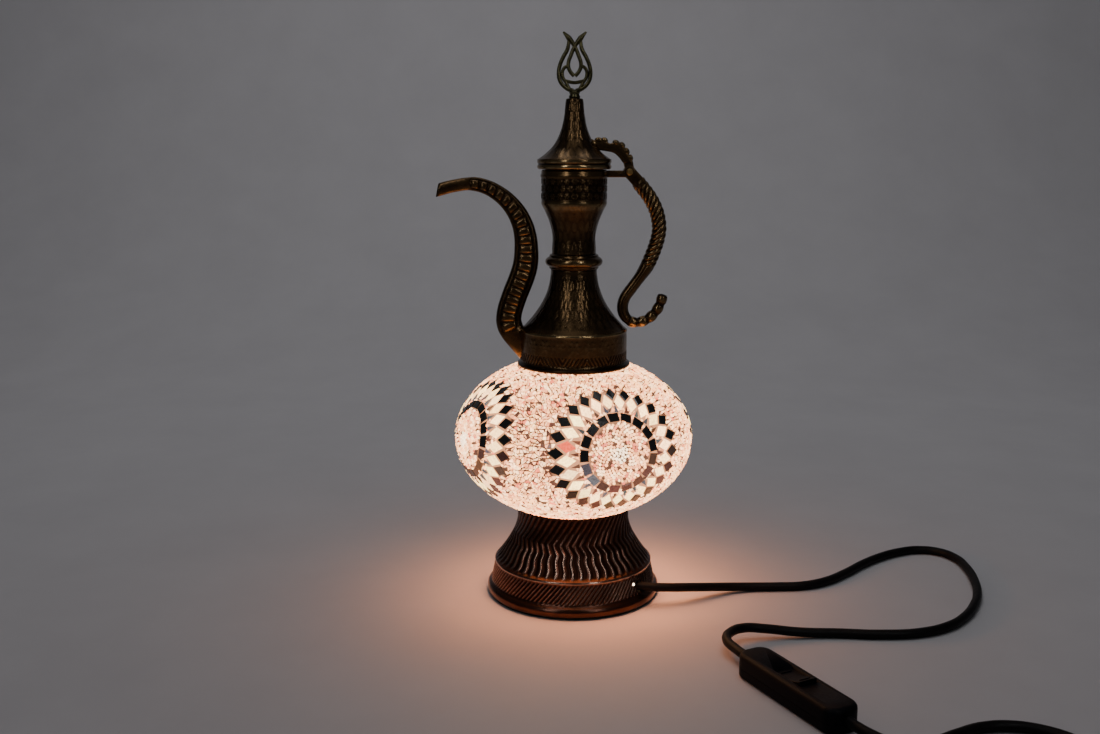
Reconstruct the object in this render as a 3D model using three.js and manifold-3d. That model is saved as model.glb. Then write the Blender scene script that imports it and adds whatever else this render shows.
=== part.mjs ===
// Table lamp in the shape of a small ewer: a fluted metal base, a glass globe laid with mosaic, and an ewer
// top with spout, rope handle, hinged lid and open-work tulip finial, on a mains lead with a rocker switch.
// Millimetres, +Z up. The origin is the middle of the felt under the foot. The spout points along -X, the
// handle along +X, and the front of the lamp is -Y.
import * as THREE from 'three';
import { mergeVertices } from 'three/addons/utils/BufferGeometryUtils.js';
import Module from 'manifold-3d';

const wasm = await Module();
wasm.setup();

// Driving dimensions
const FIT_GAP = 0.3;
const WALL = 1.8;

// Base bell and what it carries
const FELT_INSET = 1.5;
const FELT_THICKNESS = 1.2;
const FOOT_RADIUS = 60;
const FOOT_LIP_HEIGHT = 6.5;
const FOOT_SHOULDER = 3;
const LEDGE_SETBACK = 6;
const LEDGE_HEIGHT = 24;
const COLLAR_RADIUS = 38.5;
const COLLAR_START = 54;
const BASE_HEIGHT = 63.3;
const FLUTES = 48;
const FLUTE_DEPTH = 0.7;
const ROPE_BAND_DEPTH = 0.6;
const ROPE_BAND_SWING = 1.1;
const BOTTOM_PLATE_THICKNESS = 1.5;
const BOTTOM_PLATE_HEIGHT = 4;
const BRIDGE_HEIGHT = 46;
const BRIDGE_THICKNESS = 1.6;
const BRIDGE_LEDGE = 3;
const CORD_HOLE_RADIUS = 5;
const CORD_HOLE_HEIGHT = 13.6;
const CORD_HOLE_ANGLE = THREE.MathUtils.degToRad(-36.2);

// Globe
const GLOBE_RADIUS = 81;
const GLOBE_HALF_HEIGHT = 55;
const MOSAIC_THICKNESS = 2.2;
const GLASS_THICKNESS = 2.4;
const GLOBE_MOUTH = 34;

// Rosettes of tiles on the flank of the globe, turned to the right from the front
const ROSETTE_TURNS = [21, 111, 201, 295].map(THREE.MathUtils.degToRad);
const ROSETTE_RISE = 5;
const ROSETTE_TILES = 24;
const TILE_RING_INNER = 30;
const TILE_RING_MIDDLE = 38.5;
const TILE_RING_OUTER = 46.5;
const TILE_WIDTH = 8.4;
const TILE_RELIEF = 1.1;
const TILE_SINK = 1.7;
const CHIP_STAND = 0.8;

// Lampholder, bulb and the harp that ties base and ewer together
const NIPPLE_RADIUS = 5;
const NIPPLE_BORE = 3.6;
const NIPPLE_BELOW = 9;
const NIPPLE_ABOVE = 12;
const NUT_ACROSS = 14;
const NUT_HEIGHT = 4;
const HOLDER_RADIUS = 13.5;
const HOLDER_CAP_HEIGHT = 13;
const SOCKET_DEPTH = 4;
const BULB_CAP_RADIUS = 6.9;
const BULB_CAP_LENGTH = 19;
const BULB_RADIUS = 22.5;
const BULB_GLASS = 1.2;
const BULB_NECK_RADIUS = 10;
const BULB_NECK_LENGTH = 18;
const HARP_ROD = 2;
const HARP_HALF_WIDTH = 26.5;
const STUD_RADIUS = 3;
const STUD_BLOCK = 5.5;

// Ewer bell, ring and neck
const LIP_RADIUS = 37.8;
const SKIRT_RADIUS = 36.1;
const SHOULDER_HEIGHT = 24.6;
const BELL_HEIGHT = 65.5;
const BELL_TOP_RADIUS = 15.5;
const SPIDER_HEIGHT = 10;
const SPIDER_THICKNESS = 2;
const SPIDER_LEDGE = 2.5;
const RING_HEIGHT = 9.8;
const RING_RADIUS = 19.3;
const NECK_HEIGHT = 55.6;
const WAIST_RADIUS = 14.3;
const WAIST_HEIGHT = 9.8;
const RIDGE_HEIGHT = 32;
const DRUM_RADIUS = 22;

// Lid, lever and finial
const BRIM_RADIUS = 24.7;
const BRIM_HEIGHT = 6.3;
const LID_HEIGHT = 45.4;
const SPIRE_RADIUS = 5.6;
const SPIGOT_LENGTH = 5;
const SPIGOT_CLEARANCE = 1.2;
const FINIAL_STUD_RADIUS = 1.9;
const FINIAL_COLLAR_RADIUS = 3.6;
const FINIAL_COLLAR_HEIGHT = 5;
const FINIAL_HEIGHT = 37.3;
const FINIAL_HALF_WIDTH = 10.4;
const FINIAL_ROD = 1.2;
const HINGE_OUT = 14.5;
const HINGE_DROP = 1.4;
const HINGE_EYE = 4;
const HINGE_PIN_RADIUS = 1.4;
const HINGE_PLAY = 0.3;
const LEVER_WIDTH = 6.4;
const TONGUE_WIDTH = 4;
const EAR_WIDTH = 2.2;

// Spout and handle
const SPOUT_REACH = 55;
const SPOUT_RISE = 122.3;
const SPOUT_ROOT = 8.2;
const SPOUT_TIP = 4.2;
const SPOUT_DEPTH = 0.78;
const SPOUT_BLOCKS = 20;
const SPOUT_BLOCK_RELIEF = 0.8;
const HANDLE_BOW = 20.4;
const HANDLE_TAIL_REACH = 24.4;
const ROPE_RADIUS = 5;
const ROPE_STRANDS = 4;
const ROPE_PITCH = 15;
const HANDLE_BEND_RADIUS = 3.9;
const HANDLE_TAIL_RADIUS = 3.5;
const HANDLE_BEADS = 5;
const BAR_HEIGHT = 4.4;
const BAR_WIDTH = 7;

// Mains lead, switch and plug
const CORD_RADIUS = 3;
const INNER_CORD_RADIUS = 2.4;
const SWITCH_LENGTH = 86;
const SWITCH_WIDTH = 22;
const SWITCH_HEIGHT = 15;
const SWITCH_SPLIT = 6;
const SWITCH_CORNER = 8;
const SWITCH_CENTRE = new THREE.Vector2(121.7, -171.2);
const SWITCH_TURN = THREE.MathUtils.degToRad(-63);
const SWITCH_CORD_HEIGHT = 8;
const ROCKER_LENGTH = 23;
const ROCKER_WIDTH = 12;
const ROCKER_TILT = THREE.MathUtils.degToRad(9);
const ROCKER_AXLE_RADIUS = 1.2;
const ROCKER_PLAY = 0.5;
const COIL_CENTRE = new THREE.Vector2(228, -294);
const COIL_OUTER = 40;
const COIL_PITCH = 6.7;
const COIL_TURNS = 1.875;
const COIL_DIP = 1.9;
const TIE_THICKNESS = 0.8;
const TIE_WIDTH = 8;
const TIE_ANGLE = THREE.MathUtils.degToRad(135);
const PLUG_RELIEF_LENGTH = 25;
const PLUG_LENGTH = 36;
const PLUG_WIDTH = 34;
const PLUG_HEIGHT = 13.6;
const PLUG_TAIL = 38;
const PIN_SPACING = 19;
const PIN_RADIUS = 2;
const PIN_LENGTH = 19;

// Facets round a turned piece
const BIG_ROUND = 24;
const SMALL_ROUND = 12;
const TINY_ROUND = 10;

// Heights and radii that follow from the sizes above
const globeRise = (radius) => GLOBE_HALF_HEIGHT * Math.sqrt(1 - (radius / GLOBE_RADIUS) ** 2);
const FOOT_BOTTOM = FELT_THICKNESS + FIT_GAP;
const FELT_RADIUS = FOOT_RADIUS - FELT_INSET;
const LEDGE_RADIUS = FOOT_RADIUS - LEDGE_SETBACK;
const GLOBE_CENTRE = BASE_HEIGHT + FIT_GAP + globeRise(COLLAR_RADIUS);
const EWER_FOOT = GLOBE_CENTRE + globeRise(LIP_RADIUS) + FIT_GAP;
const RING_FOOT = EWER_FOOT + BELL_HEIGHT + FIT_GAP;
const NECK_FOOT = RING_FOOT + RING_HEIGHT + FIT_GAP;
const RIM_HEIGHT = NECK_FOOT + NECK_HEIGHT;
const LID_FOOT = RIM_HEIGHT + FIT_GAP;
const FINIAL_FOOT = LID_FOOT + LID_HEIGHT + FIT_GAP;
const BRIDGE_TOP = BRIDGE_HEIGHT + BRIDGE_THICKNESS;
const HINGE = new THREE.Vector3(DRUM_RADIUS + HINGE_OUT, 0, RIM_HEIGHT - HINGE_DROP);
const SPIDER_FOOT = EWER_FOOT + SPIDER_HEIGHT;

// Finishes
const finish = (color, roughness, metalness) => new THREE.MeshStandardMaterial({ color, roughness, metalness });
const bronze = finish(0x4a2f1c, 0.45, 0.9);
const copper = finish(0x5a2f1f, 0.45, 0.9);
const brass = finish(0x7a6a3a, 0.4, 1);
const steel = finish(0x9a9a98, 0.4, 1);
const felt = finish(0x20201f, 1, 0);
const mosaic = finish(0xf2d9cf, 0.35, 0);
const glass = finish(0xf4f0ea, 0.1, 0);
const blackPlastic = finish(0x17151a, 0.45, 0);

const lamp = new THREE.Group();

// One closed surface: shared corners merged, collapsed triangles dropped, faces pointing out
function closedSurface(geometry) {
  const bare = new THREE.BufferGeometry();
  bare.setAttribute('position', geometry.getAttribute('position').clone());
  if (geometry.index) bare.setIndex(geometry.index.clone());
  const merged = mergeVertices(bare, 1e-4);
  const source = merged.index.array;
  const kept = [];
  for (let i = 0; i < source.length; i += 3) {
    const [a, b, c] = [source[i], source[i + 1], source[i + 2]];
    if (a !== b && b !== c && c !== a) kept.push(a, b, c);
  }
  if (signedVolume(merged, kept) < 0) kept.reverse();
  merged.setIndex(kept);
  return merged;
}

function signedVolume(geometry, index) {
  const position = geometry.getAttribute('position');
  const corners = [new THREE.Vector3(), new THREE.Vector3(), new THREE.Vector3()];
  let volume = 0;
  for (let i = 0; i < index.length; i += 3) {
    corners.forEach((corner, k) => corner.fromBufferAttribute(position, index[i + k]));
    volume += corners[0].dot(corners[1].cross(corners[2])) / 6;
  }
  return volume;
}

function toSolid(geometry) {
  const closed = closedSurface(geometry);
  const vertProperties = new Float32Array(closed.getAttribute('position').array);
  const triVerts = new Uint32Array(closed.index.array);
  return new wasm.Manifold(new wasm.Mesh({ numProp: 3, vertProperties, triVerts }));
}

function toGeometry(solid) {
  const mesh = solid.getMesh();
  const geometry = new THREE.BufferGeometry();
  geometry.setAttribute('position', new THREE.BufferAttribute(new Float32Array(mesh.vertProperties), 3));
  geometry.setIndex(new THREE.BufferAttribute(new Uint32Array(mesh.triVerts), 1));
  return geometry;
}

function join(...geometries) {
  return toGeometry(geometries.map(toSolid).reduce((whole, piece) => whole.add(piece)));
}

function cut(geometry, ...tools) {
  return toGeometry(tools.map(toSolid).reduce((whole, tool) => whole.subtract(tool), toSolid(geometry)));
}

function addPart(name, geometry, material, parent = lamp) {
  const mesh = new THREE.Mesh(closedSurface(geometry), material);
  mesh.geometry.computeVertexNormals();
  mesh.name = name;
  parent.add(mesh);
  return mesh;
}

// Turned piece about Z from an outline of [radius, height] points, closed on itself unless it ends on the axis
function turned(outline, segments = BIG_ROUND) {
  const points = outline.map(([radius, height]) => new THREE.Vector2(radius, height));
  const first = points[0];
  const last = points[points.length - 1];
  if (first.x > 0 || last.x > 0) points.push(first.clone());
  return new THREE.LatheGeometry(points, segments).rotateX(Math.PI / 2);
}

function ring(inner, outer, foot, height, segments = SMALL_ROUND) {
  return turned([[inner, foot], [outer, foot], [outer, foot + height], [inner, foot + height]], segments);
}

function rod(radius, foot, height, segments = SMALL_ROUND) {
  return turned([[0, foot], [radius, foot], [radius, foot + height], [0, foot + height]], segments);
}

// Round pin along Y, centred on a point
function crossPin(centre, radius, length, segments = TINY_ROUND) {
  return new THREE.CylinderGeometry(radius, radius, length, segments).translate(centre.x, centre.y, centre.z);
}

function block(x0, x1, y0, y1, z0, z1) {
  const size = new THREE.Vector3(x1 - x0, y1 - y0, z1 - z0);
  const box = new THREE.BoxGeometry(size.x, size.y, size.z);
  return box.translate((x0 + x1) / 2, (y0 + y1) / 2, (z0 + z1) / 2);
}

// Skin through a row of rings that all have the same number of points, capped at both ends
function loft(rings) {
  const count = rings[0].length;
  const vertices = rings.flat();
  const ends = [rings[0], rings[rings.length - 1]];
  for (const end of ends) {
    const middle = end.reduce((sum, point) => sum.add(point), new THREE.Vector3()).divideScalar(count);
    vertices.push(middle);
  }
  const index = [];
  for (let i = 0; i + 1 < rings.length; i++) {
    for (let k = 0; k < count; k++) {
      const a = i * count + k;
      const b = i * count + (k + 1) % count;
      index.push(a, b, b + count, a, b + count, a + count);
    }
  }
  const startMiddle = rings.length * count;
  const lastRing = (rings.length - 1) * count;
  for (let k = 0; k < count; k++) {
    const next = (k + 1) % count;
    index.push(startMiddle, next, k);
    index.push(startMiddle + 1, lastRing + k, lastRing + next);
  }
  const geometry = new THREE.BufferGeometry();
  geometry.setAttribute('position', new THREE.Float32BufferAttribute(vertices.flatMap((v) => v.toArray()), 3));
  geometry.setIndex(index);
  return geometry;
}

function circleShape(radius, sides) {
  const corners = [];
  for (let k = 0; k < sides; k++) {
    const angle = (2 * Math.PI * k) / sides;
    corners.push(new THREE.Vector2(radius * Math.cos(angle), radius * Math.sin(angle)));
  }
  return new THREE.Shape(corners);
}

// Round tube along a smooth curve through the given points
function tube(points, radius, steps, sides) {
  const route = points.map(([x, y, z]) => new THREE.Vector3(x, y, z));
  const extrudePath = new THREE.CatmullRomCurve3(route, false, 'centripetal');
  return new THREE.ExtrudeGeometry(circleShape(radius, sides), { steps, extrudePath, bevelEnabled: false });
}

// Flat plate: a round disc with round or sector cut-outs, its underside at the given height
function disc(radius, foot, thickness, holes) {
  const shape = circleShape(radius, BIG_ROUND);
  shape.holes.push(...holes);
  const plate = new THREE.ExtrudeGeometry(shape, { depth: thickness, bevelEnabled: false });
  return plate.translate(0, 0, foot);
}

function sectorHole(inner, outer, start, end) {
  const hole = new THREE.Path();
  const steps = 5;
  for (let k = 0; k <= steps; k++) {
    const angle = start + ((end - start) * k) / steps;
    hole[k === 0 ? 'moveTo' : 'lineTo'](outer * Math.cos(angle), outer * Math.sin(angle));
  }
  for (let k = steps; k >= 0; k--) {
    const angle = start + ((end - start) * k) / steps;
    hole.lineTo(inner * Math.cos(angle), inner * Math.sin(angle));
  }
  hole.closePath();
  return hole;
}

function sectorHoles(count, inner, outer, armAngle) {
  const pitch = (2 * Math.PI) / count;
  return Array.from({ length: count }, (_, k) => {
    const start = k * pitch + armAngle / 2;
    return sectorHole(inner, outer, start, start + pitch - armAngle);
  });
}

function hexNut(across, bore, foot, height) {
  const shape = circleShape(across / 2 / Math.cos(Math.PI / 6), 6);
  shape.holes.push(circleShape(bore, TINY_ROUND));
  return new THREE.ExtrudeGeometry(shape, { depth: height, bevelEnabled: false }).translate(0, 0, foot);
}

// Base bell: a foot lip, a plain band for gadroons, a ledge, and flutes that stand upright as petals, swing
// one way and then run slantwise up to the collar
function baseRadius(height) {
  const rise = (height - LEDGE_HEIGHT) / (COLLAR_START - LEDGE_HEIGHT);
  return COLLAR_RADIUS + (LEDGE_RADIUS - COLLAR_RADIUS) * (1 - Math.min(rise, 1)) ** 1.6;
}

const FLUTE_RINGS = [
  { share: 0.1, depth: 0.8, swing: 0.05 },
  { share: 0.38, depth: 1, swing: -0.05 },
  { share: 0.58, depth: 0.7, swing: -0.75 },
  { share: 1, depth: 0.5, swing: 1 },
];

function baseRing(radius, height, depth = 0, swing = 0) {
  const points = [];
  for (let k = 0; k < 2 * FLUTES; k++) {
    const angle = ((k / 2 + swing) * 2 * Math.PI) / FLUTES;
    const reach = radius - (k % 2 ? depth : 0);
    points.push(new THREE.Vector3(reach * Math.cos(angle), reach * Math.sin(angle), height));
  }
  return points;
}

function baseShell() {
  const shoulder = { radius: FOOT_RADIUS - FOOT_SHOULDER, height: FOOT_LIP_HEIGHT + FOOT_SHOULDER };
  const roped = [0.06, 0.82].map((share) => {
    const radius = THREE.MathUtils.lerp(shoulder.radius, LEDGE_RADIUS, share);
    const height = THREE.MathUtils.lerp(shoulder.height, LEDGE_HEIGHT, share);
    return baseRing(radius, height, ROPE_BAND_DEPTH, share * ROPE_BAND_SWING);
  });
  const fluted = FLUTE_RINGS.map(({ share, depth, swing }) => {
    const height = LEDGE_HEIGHT + (COLLAR_START - LEDGE_HEIGHT) * share;
    return baseRing(baseRadius(height), height, depth * FLUTE_DEPTH, ROPE_BAND_SWING + swing);
  });
  const swingTop = ROPE_BAND_SWING + FLUTE_RINGS[FLUTE_RINGS.length - 1].swing;
  const outside = [
    baseRing(FOOT_RADIUS, FOOT_BOTTOM),
    baseRing(FOOT_RADIUS, FOOT_LIP_HEIGHT),
    baseRing(shoulder.radius, shoulder.height),
    ...roped,
    baseRing(LEDGE_RADIUS, LEDGE_HEIGHT, 0, ROPE_BAND_SWING),
    ...fluted,
    baseRing(COLLAR_RADIUS, BASE_HEIGHT, 0, swingTop),
  ];
  const wall = WALL + FLUTE_DEPTH;
  const plateTop = BOTTOM_PLATE_HEIGHT + BOTTOM_PLATE_THICKNESS + FIT_GAP;
  const petalTop = LEDGE_HEIGHT + (COLLAR_START - LEDGE_HEIGHT) * 0.4;
  const inside = [
    [0, FOOT_BOTTOM - 1],
    [FOOT_RADIUS - WALL, FOOT_BOTTOM - 1],
    [FOOT_RADIUS - WALL, plateTop],
    [LEDGE_RADIUS - wall, plateTop],
    [LEDGE_RADIUS - wall, LEDGE_HEIGHT - WALL],
    [baseRadius(petalTop) - wall, petalTop],
    [COLLAR_RADIUS - wall - BRIDGE_LEDGE, BRIDGE_HEIGHT - FIT_GAP - BRIDGE_LEDGE / 2],
    [COLLAR_RADIUS - wall - BRIDGE_LEDGE, BRIDGE_HEIGHT - FIT_GAP],
    [COLLAR_RADIUS - wall, BRIDGE_HEIGHT - FIT_GAP],
    [COLLAR_RADIUS - wall, BASE_HEIGHT + 1],
    [0, BASE_HEIGHT + 1],
  ];
  const seat = globeSolid(GLOBE_RADIUS + FIT_GAP, GLOBE_HALF_HEIGHT + FIT_GAP, BIG_ROUND);
  const hole = new THREE.CylinderGeometry(CORD_HOLE_RADIUS, CORD_HOLE_RADIUS, LEDGE_RADIUS, SMALL_ROUND);
  hole.rotateZ(Math.PI / 2).translate(LEDGE_RADIUS, 0, 0).rotateZ(CORD_HOLE_ANGLE);
  hole.translate(0, 0, CORD_HOLE_HEIGHT);
  return cut(loft(outside), turned(inside), seat, hole);
}

function globeSolid(radius, halfHeight, segments) {
  const outline = [];
  const steps = 18;
  for (let k = 0; k <= steps; k++) {
    const tilt = -Math.PI / 2 + (Math.PI * k) / steps;
    const reach = k === 0 || k === steps ? 0 : radius * Math.cos(tilt);
    outline.push([reach, GLOBE_CENTRE + halfHeight * Math.sin(tilt)]);
  }
  return turned(outline, segments);
}

// Open globe shell between two ellipses, from mouth to mouth, the outer one proud by a stand round its waist
function globeShell(outerGap, innerGap, mouth, outerSteps, innerSteps, outerStand = 0) {
  const outline = [];
  const walk = (gap, direction, steps, stand) => {
    const radius = GLOBE_RADIUS - gap;
    const halfHeight = GLOBE_HALF_HEIGHT - gap;
    const tiltEnd = Math.acos(mouth / radius);
    for (let k = 0; k <= steps; k++) {
      const share = direction * ((2 * k) / steps - 1);
      const tilt = tiltEnd * share;
      const proud = stand * (1 - Math.abs(share) ** 3);
      outline.push([(radius + proud) * Math.cos(tilt), GLOBE_CENTRE + (halfHeight + proud) * Math.sin(tilt)]);
    }
  };
  walk(outerGap, 1, outerSteps, outerStand);
  walk(innerGap, -1, innerSteps, 0);
  return turned(outline);
}

addPart('felt_pad', rod(FELT_RADIUS, 0, FELT_THICKNESS, BIG_ROUND), felt);
addPart('base_shell', baseShell(), copper);
addPart(
  'bottom_plate',
  rod(FOOT_RADIUS - WALL - FIT_GAP, BOTTOM_PLATE_HEIGHT, BOTTOM_PLATE_THICKNESS, BIG_ROUND),
  steel,
);
addPart(
  'bridge_plate',
  disc(COLLAR_RADIUS - WALL - FLUTE_DEPTH - FIT_GAP, BRIDGE_HEIGHT, BRIDGE_THICKNESS, [
    circleShape(NIPPLE_RADIUS + FIT_GAP, SMALL_ROUND),
    ...sectorHoles(4, HOLDER_RADIUS + 1.5, HARP_HALF_WIDTH - HARP_ROD, 0.7),
  ]),
  steel,
);

// Lampholder on its nipple, clamped through the bridge by a nut
addPart('nipple', ring(NIPPLE_BORE, NIPPLE_RADIUS, BRIDGE_HEIGHT - NIPPLE_BELOW,
  NIPPLE_BELOW + BRIDGE_THICKNESS + NIPPLE_ABOVE), steel);
addPart('nipple_nut', hexNut(NUT_ACROSS, NIPPLE_RADIUS + FIT_GAP,
  BRIDGE_HEIGHT - FIT_GAP - NUT_HEIGHT, NUT_HEIGHT), steel);

const HARP_CENTRE_FOOT = BRIDGE_TOP + FIT_GAP + HARP_ROD;
const HOLDER_FOOT = BRIDGE_TOP + 2 * (HARP_ROD + FIT_GAP);
const INSERT_FLOOR = HOLDER_FOOT + HOLDER_CAP_HEIGHT + FIT_GAP;
const BULB_FOOT = INSERT_FLOOR + SOCKET_DEPTH;
const HOLDER_TOP = BULB_FOOT + BULB_CAP_LENGTH;
const HARP_TOP = EWER_FOOT + SPIDER_HEIGHT - STUD_BLOCK - FIT_GAP;

addPart('lampholder_cap', turned([
  [NIPPLE_RADIUS + FIT_GAP, HOLDER_FOOT],
  [HOLDER_RADIUS - 3.5, HOLDER_FOOT],
  [HOLDER_RADIUS - 0.8, HOLDER_FOOT + 3],
  [HOLDER_RADIUS, HOLDER_FOOT + 7],
  [HOLDER_RADIUS, HOLDER_FOOT + HOLDER_CAP_HEIGHT],
  [HOLDER_RADIUS - WALL, HOLDER_FOOT + HOLDER_CAP_HEIGHT],
  [HOLDER_RADIUS - WALL, HOLDER_FOOT + 5],
  [NIPPLE_RADIUS + FIT_GAP, HOLDER_FOOT + 5],
], SMALL_ROUND), blackPlastic);
addPart('lampholder_body', turned([
  [NIPPLE_RADIUS - 2, INSERT_FLOOR],
  [HOLDER_RADIUS, INSERT_FLOOR],
  [HOLDER_RADIUS, HOLDER_TOP],
  [BULB_CAP_RADIUS + FIT_GAP, HOLDER_TOP],
  [BULB_CAP_RADIUS + FIT_GAP, INSERT_FLOOR + 2],
  [NIPPLE_RADIUS - 2, INSERT_FLOOR + 2],
], SMALL_ROUND), blackPlastic);
addPart('centre_contact', rod(NIPPLE_RADIUS - 2 - FIT_GAP, INSERT_FLOOR, BULB_FOOT - FIT_GAP - INSERT_FLOOR,
  TINY_ROUND), brass);
addPart('bulb_cap', turned([
  [0, BULB_FOOT],
  [3, BULB_FOOT],
  [BULB_CAP_RADIUS, BULB_FOOT + 3],
  [BULB_CAP_RADIUS, BULB_FOOT + BULB_CAP_LENGTH],
  [0, BULB_FOOT + BULB_CAP_LENGTH],
], SMALL_ROUND), steel);

// Bulb: a blown ball on a flared neck, open below where the cap closes it
function bulbGlass() {
  const foot = BULB_FOOT + BULB_CAP_LENGTH + FIT_GAP;
  const centre = foot + BULB_NECK_LENGTH + Math.sqrt(BULB_RADIUS ** 2 - BULB_NECK_RADIUS ** 2);
  const start = Math.asin((foot + BULB_NECK_LENGTH - centre) / BULB_RADIUS);
  const steps = 4;
  const ball = (radius) => Array.from({ length: steps + 1 }, (_, k) => {
    const tilt = start + ((Math.PI / 2 - start) * k) / steps;
    return [k === steps ? 0 : radius * Math.cos(tilt), centre + radius * Math.sin(tilt)];
  });
  const outline = [[BULB_CAP_RADIUS, foot], ...ball(BULB_RADIUS)];
  const inner = [...ball(BULB_RADIUS - BULB_GLASS).reverse(), [BULB_CAP_RADIUS - BULB_GLASS, foot]];
  const points = [...outline, ...inner];
  const half = points.map(([radius, height]) => new THREE.Vector2(radius, height));
  half.push(half[0].clone());
  return new THREE.LatheGeometry(half, SMALL_ROUND).rotateX(Math.PI / 2);
}
addPart('bulb_glass', bulbGlass(), glass);

addPart('globe_glass', globeShell(MOSAIC_THICKNESS + FIT_GAP, MOSAIC_THICKNESS + FIT_GAP + GLASS_THICKNESS,
  GLOBE_MOUTH, 9, 5), glass);

// Mosaic: a skin of chips over the glass, with rosettes of raised diamond tiles. A spot on the flank is given
// by its place along and across a ray from the rosette's centre, and by its lift from the skin.
function flankSpot(turn, ray, along, across, lift) {
  const angle = turn - Math.PI / 2;
  const out = GLOBE_RADIUS * Math.sqrt(1 - (ROSETTE_RISE / GLOBE_HALF_HEIGHT) ** 2);
  const slope = Math.atan2(ROSETTE_RISE / GLOBE_HALF_HEIGHT ** 2, out / GLOBE_RADIUS ** 2);
  const right = along * Math.cos(ray) - across * Math.sin(ray);
  const up = along * Math.sin(ray) + across * Math.cos(ray);
  const flat = new THREE.Vector3(out - up * Math.sin(slope), right, ROSETTE_RISE + up * Math.cos(slope));
  const reach = Math.hypot(flat.x / GLOBE_RADIUS, flat.y / GLOBE_RADIUS, flat.z / GLOBE_HALF_HEIGHT);
  const spot = flat.divideScalar(reach);
  const skew = new THREE.Vector3(1 / GLOBE_RADIUS ** 2, 1 / GLOBE_RADIUS ** 2, 1 / GLOBE_HALF_HEIGHT ** 2);
  const normal = spot.clone().multiply(skew).normalize();
  spot.addScaledVector(normal, lift).applyAxisAngle(new THREE.Vector3(0, 0, 1), angle);
  return spot.setZ(spot.z + GLOBE_CENTRE);
}

function rosetteTile(turn, ray) {
  const outline = [
    [TILE_RING_INNER, 0], [TILE_RING_MIDDLE, TILE_WIDTH / 2], [TILE_RING_OUTER, 0],
    [TILE_RING_MIDDLE, -TILE_WIDTH / 2],
  ];
  const level = (lift) => outline.map(([along, across]) => flankSpot(turn, ray, along, across, lift));
  const corners = [...level(-TILE_SINK), ...level(TILE_RELIEF)];
  const index = [0, 2, 1, 0, 3, 2, 4, 5, 6, 4, 6, 7];
  for (let k = 0; k < 4; k++) {
    const next = (k + 1) % 4;
    index.push(k, next, next + 4, k, next + 4, k + 4);
  }
  const geometry = new THREE.BufferGeometry();
  geometry.setAttribute('position', new THREE.Float32BufferAttribute(corners.flatMap((v) => v.toArray()), 3));
  geometry.setIndex(index);
  return geometry;
}

function globeMosaic() {
  const tiles = ROSETTE_TURNS.flatMap((turn) => Array.from({ length: ROSETTE_TILES }, (_, k) => {
    return rosetteTile(turn, (2 * Math.PI * (k + 0.25)) / ROSETTE_TILES);
  }));
  return join(globeShell(0, MOSAIC_THICKNESS, GLOBE_MOUTH, 9, 9, CHIP_STAND), ...tiles);
}
addPart('globe_mosaic', globeMosaic(), mosaic);

// Harp: one bent rod round the bulb, its feet under the lampholder and its stud through the spider above
function harp() {
  const side = [
    [NIPPLE_RADIUS + 4, HARP_CENTRE_FOOT],
    [HARP_HALF_WIDTH - 9, HARP_CENTRE_FOOT],
    [HARP_HALF_WIDTH - 2.5, HARP_CENTRE_FOOT + 3.5],
    [HARP_HALF_WIDTH, HARP_CENTRE_FOOT + 12],
    [HARP_HALF_WIDTH, (HARP_CENTRE_FOOT + HARP_TOP) / 2],
    [HARP_HALF_WIDTH, HARP_TOP - 28],
    [HARP_HALF_WIDTH - 5, HARP_TOP - 11],
    [HARP_HALF_WIDTH / 2, HARP_TOP - 2],
  ];
  const right = side.map(([x, z]) => [x, 0, z]);
  const left = [...side].reverse().map(([x, z]) => [-x, 0, z]);
  return tube([...right, [0, 0, HARP_TOP], ...left], HARP_ROD, 26, 6);
}
addPart('harp', harp(), steel);

function harpStud() {
  const spiderTop = SPIDER_FOOT + SPIDER_THICKNESS;
  const body = turned([
    [0, HARP_TOP - STUD_BLOCK],
    [STUD_BLOCK, HARP_TOP - STUD_BLOCK],
    [STUD_BLOCK, HARP_TOP + STUD_BLOCK],
    [STUD_RADIUS, HARP_TOP + STUD_BLOCK],
    [STUD_RADIUS, spiderTop + FIT_GAP + NUT_HEIGHT + 3],
    [0, spiderTop + FIT_GAP + NUT_HEIGHT + 3],
  ], TINY_ROUND);
  const eye = new THREE.CylinderGeometry(HARP_ROD + 0.7, HARP_ROD + 0.7, 4 * STUD_BLOCK, TINY_ROUND);
  return cut(body, eye.rotateZ(Math.PI / 2).translate(0, 0, HARP_TOP - 0.4));
}
addPart('harp_stud', harpStud(), steel);
addPart('stud_nut', hexNut(NUT_ACROSS - 3, STUD_RADIUS + FIT_GAP,
  SPIDER_FOOT + SPIDER_THICKNESS + FIT_GAP, NUT_HEIGHT), steel);

const SKIRT_INNER = SKIRT_RADIUS - WALL;
addPart(
  'ewer_spider',
  disc(SKIRT_INNER - FIT_GAP, SPIDER_FOOT, SPIDER_THICKNESS, [
    circleShape(STUD_RADIUS + FIT_GAP, TINY_ROUND),
    ...sectorHoles(3, NUT_ACROSS - 4, SKIRT_INNER - 6, 0.5),
  ]),
  steel,
);

// Ewer bell: a rolled lip on the globe, a straight skirt and a shoulder that sweeps in to the ring
function bellRadius(height) {
  const rise = (height - SHOULDER_HEIGHT) / (BELL_HEIGHT - SHOULDER_HEIGHT);
  return BELL_TOP_RADIUS + (SKIRT_RADIUS - BELL_TOP_RADIUS) * (1 - Math.max(rise, 0)) ** 2.1;
}

const BELL_STEPS = [0, 0.1, 0.24, 0.42, 0.66, 1];
const bellHeights = BELL_STEPS.map((share) => SHOULDER_HEIGHT + (BELL_HEIGHT - SHOULDER_HEIGHT) * share);

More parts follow.
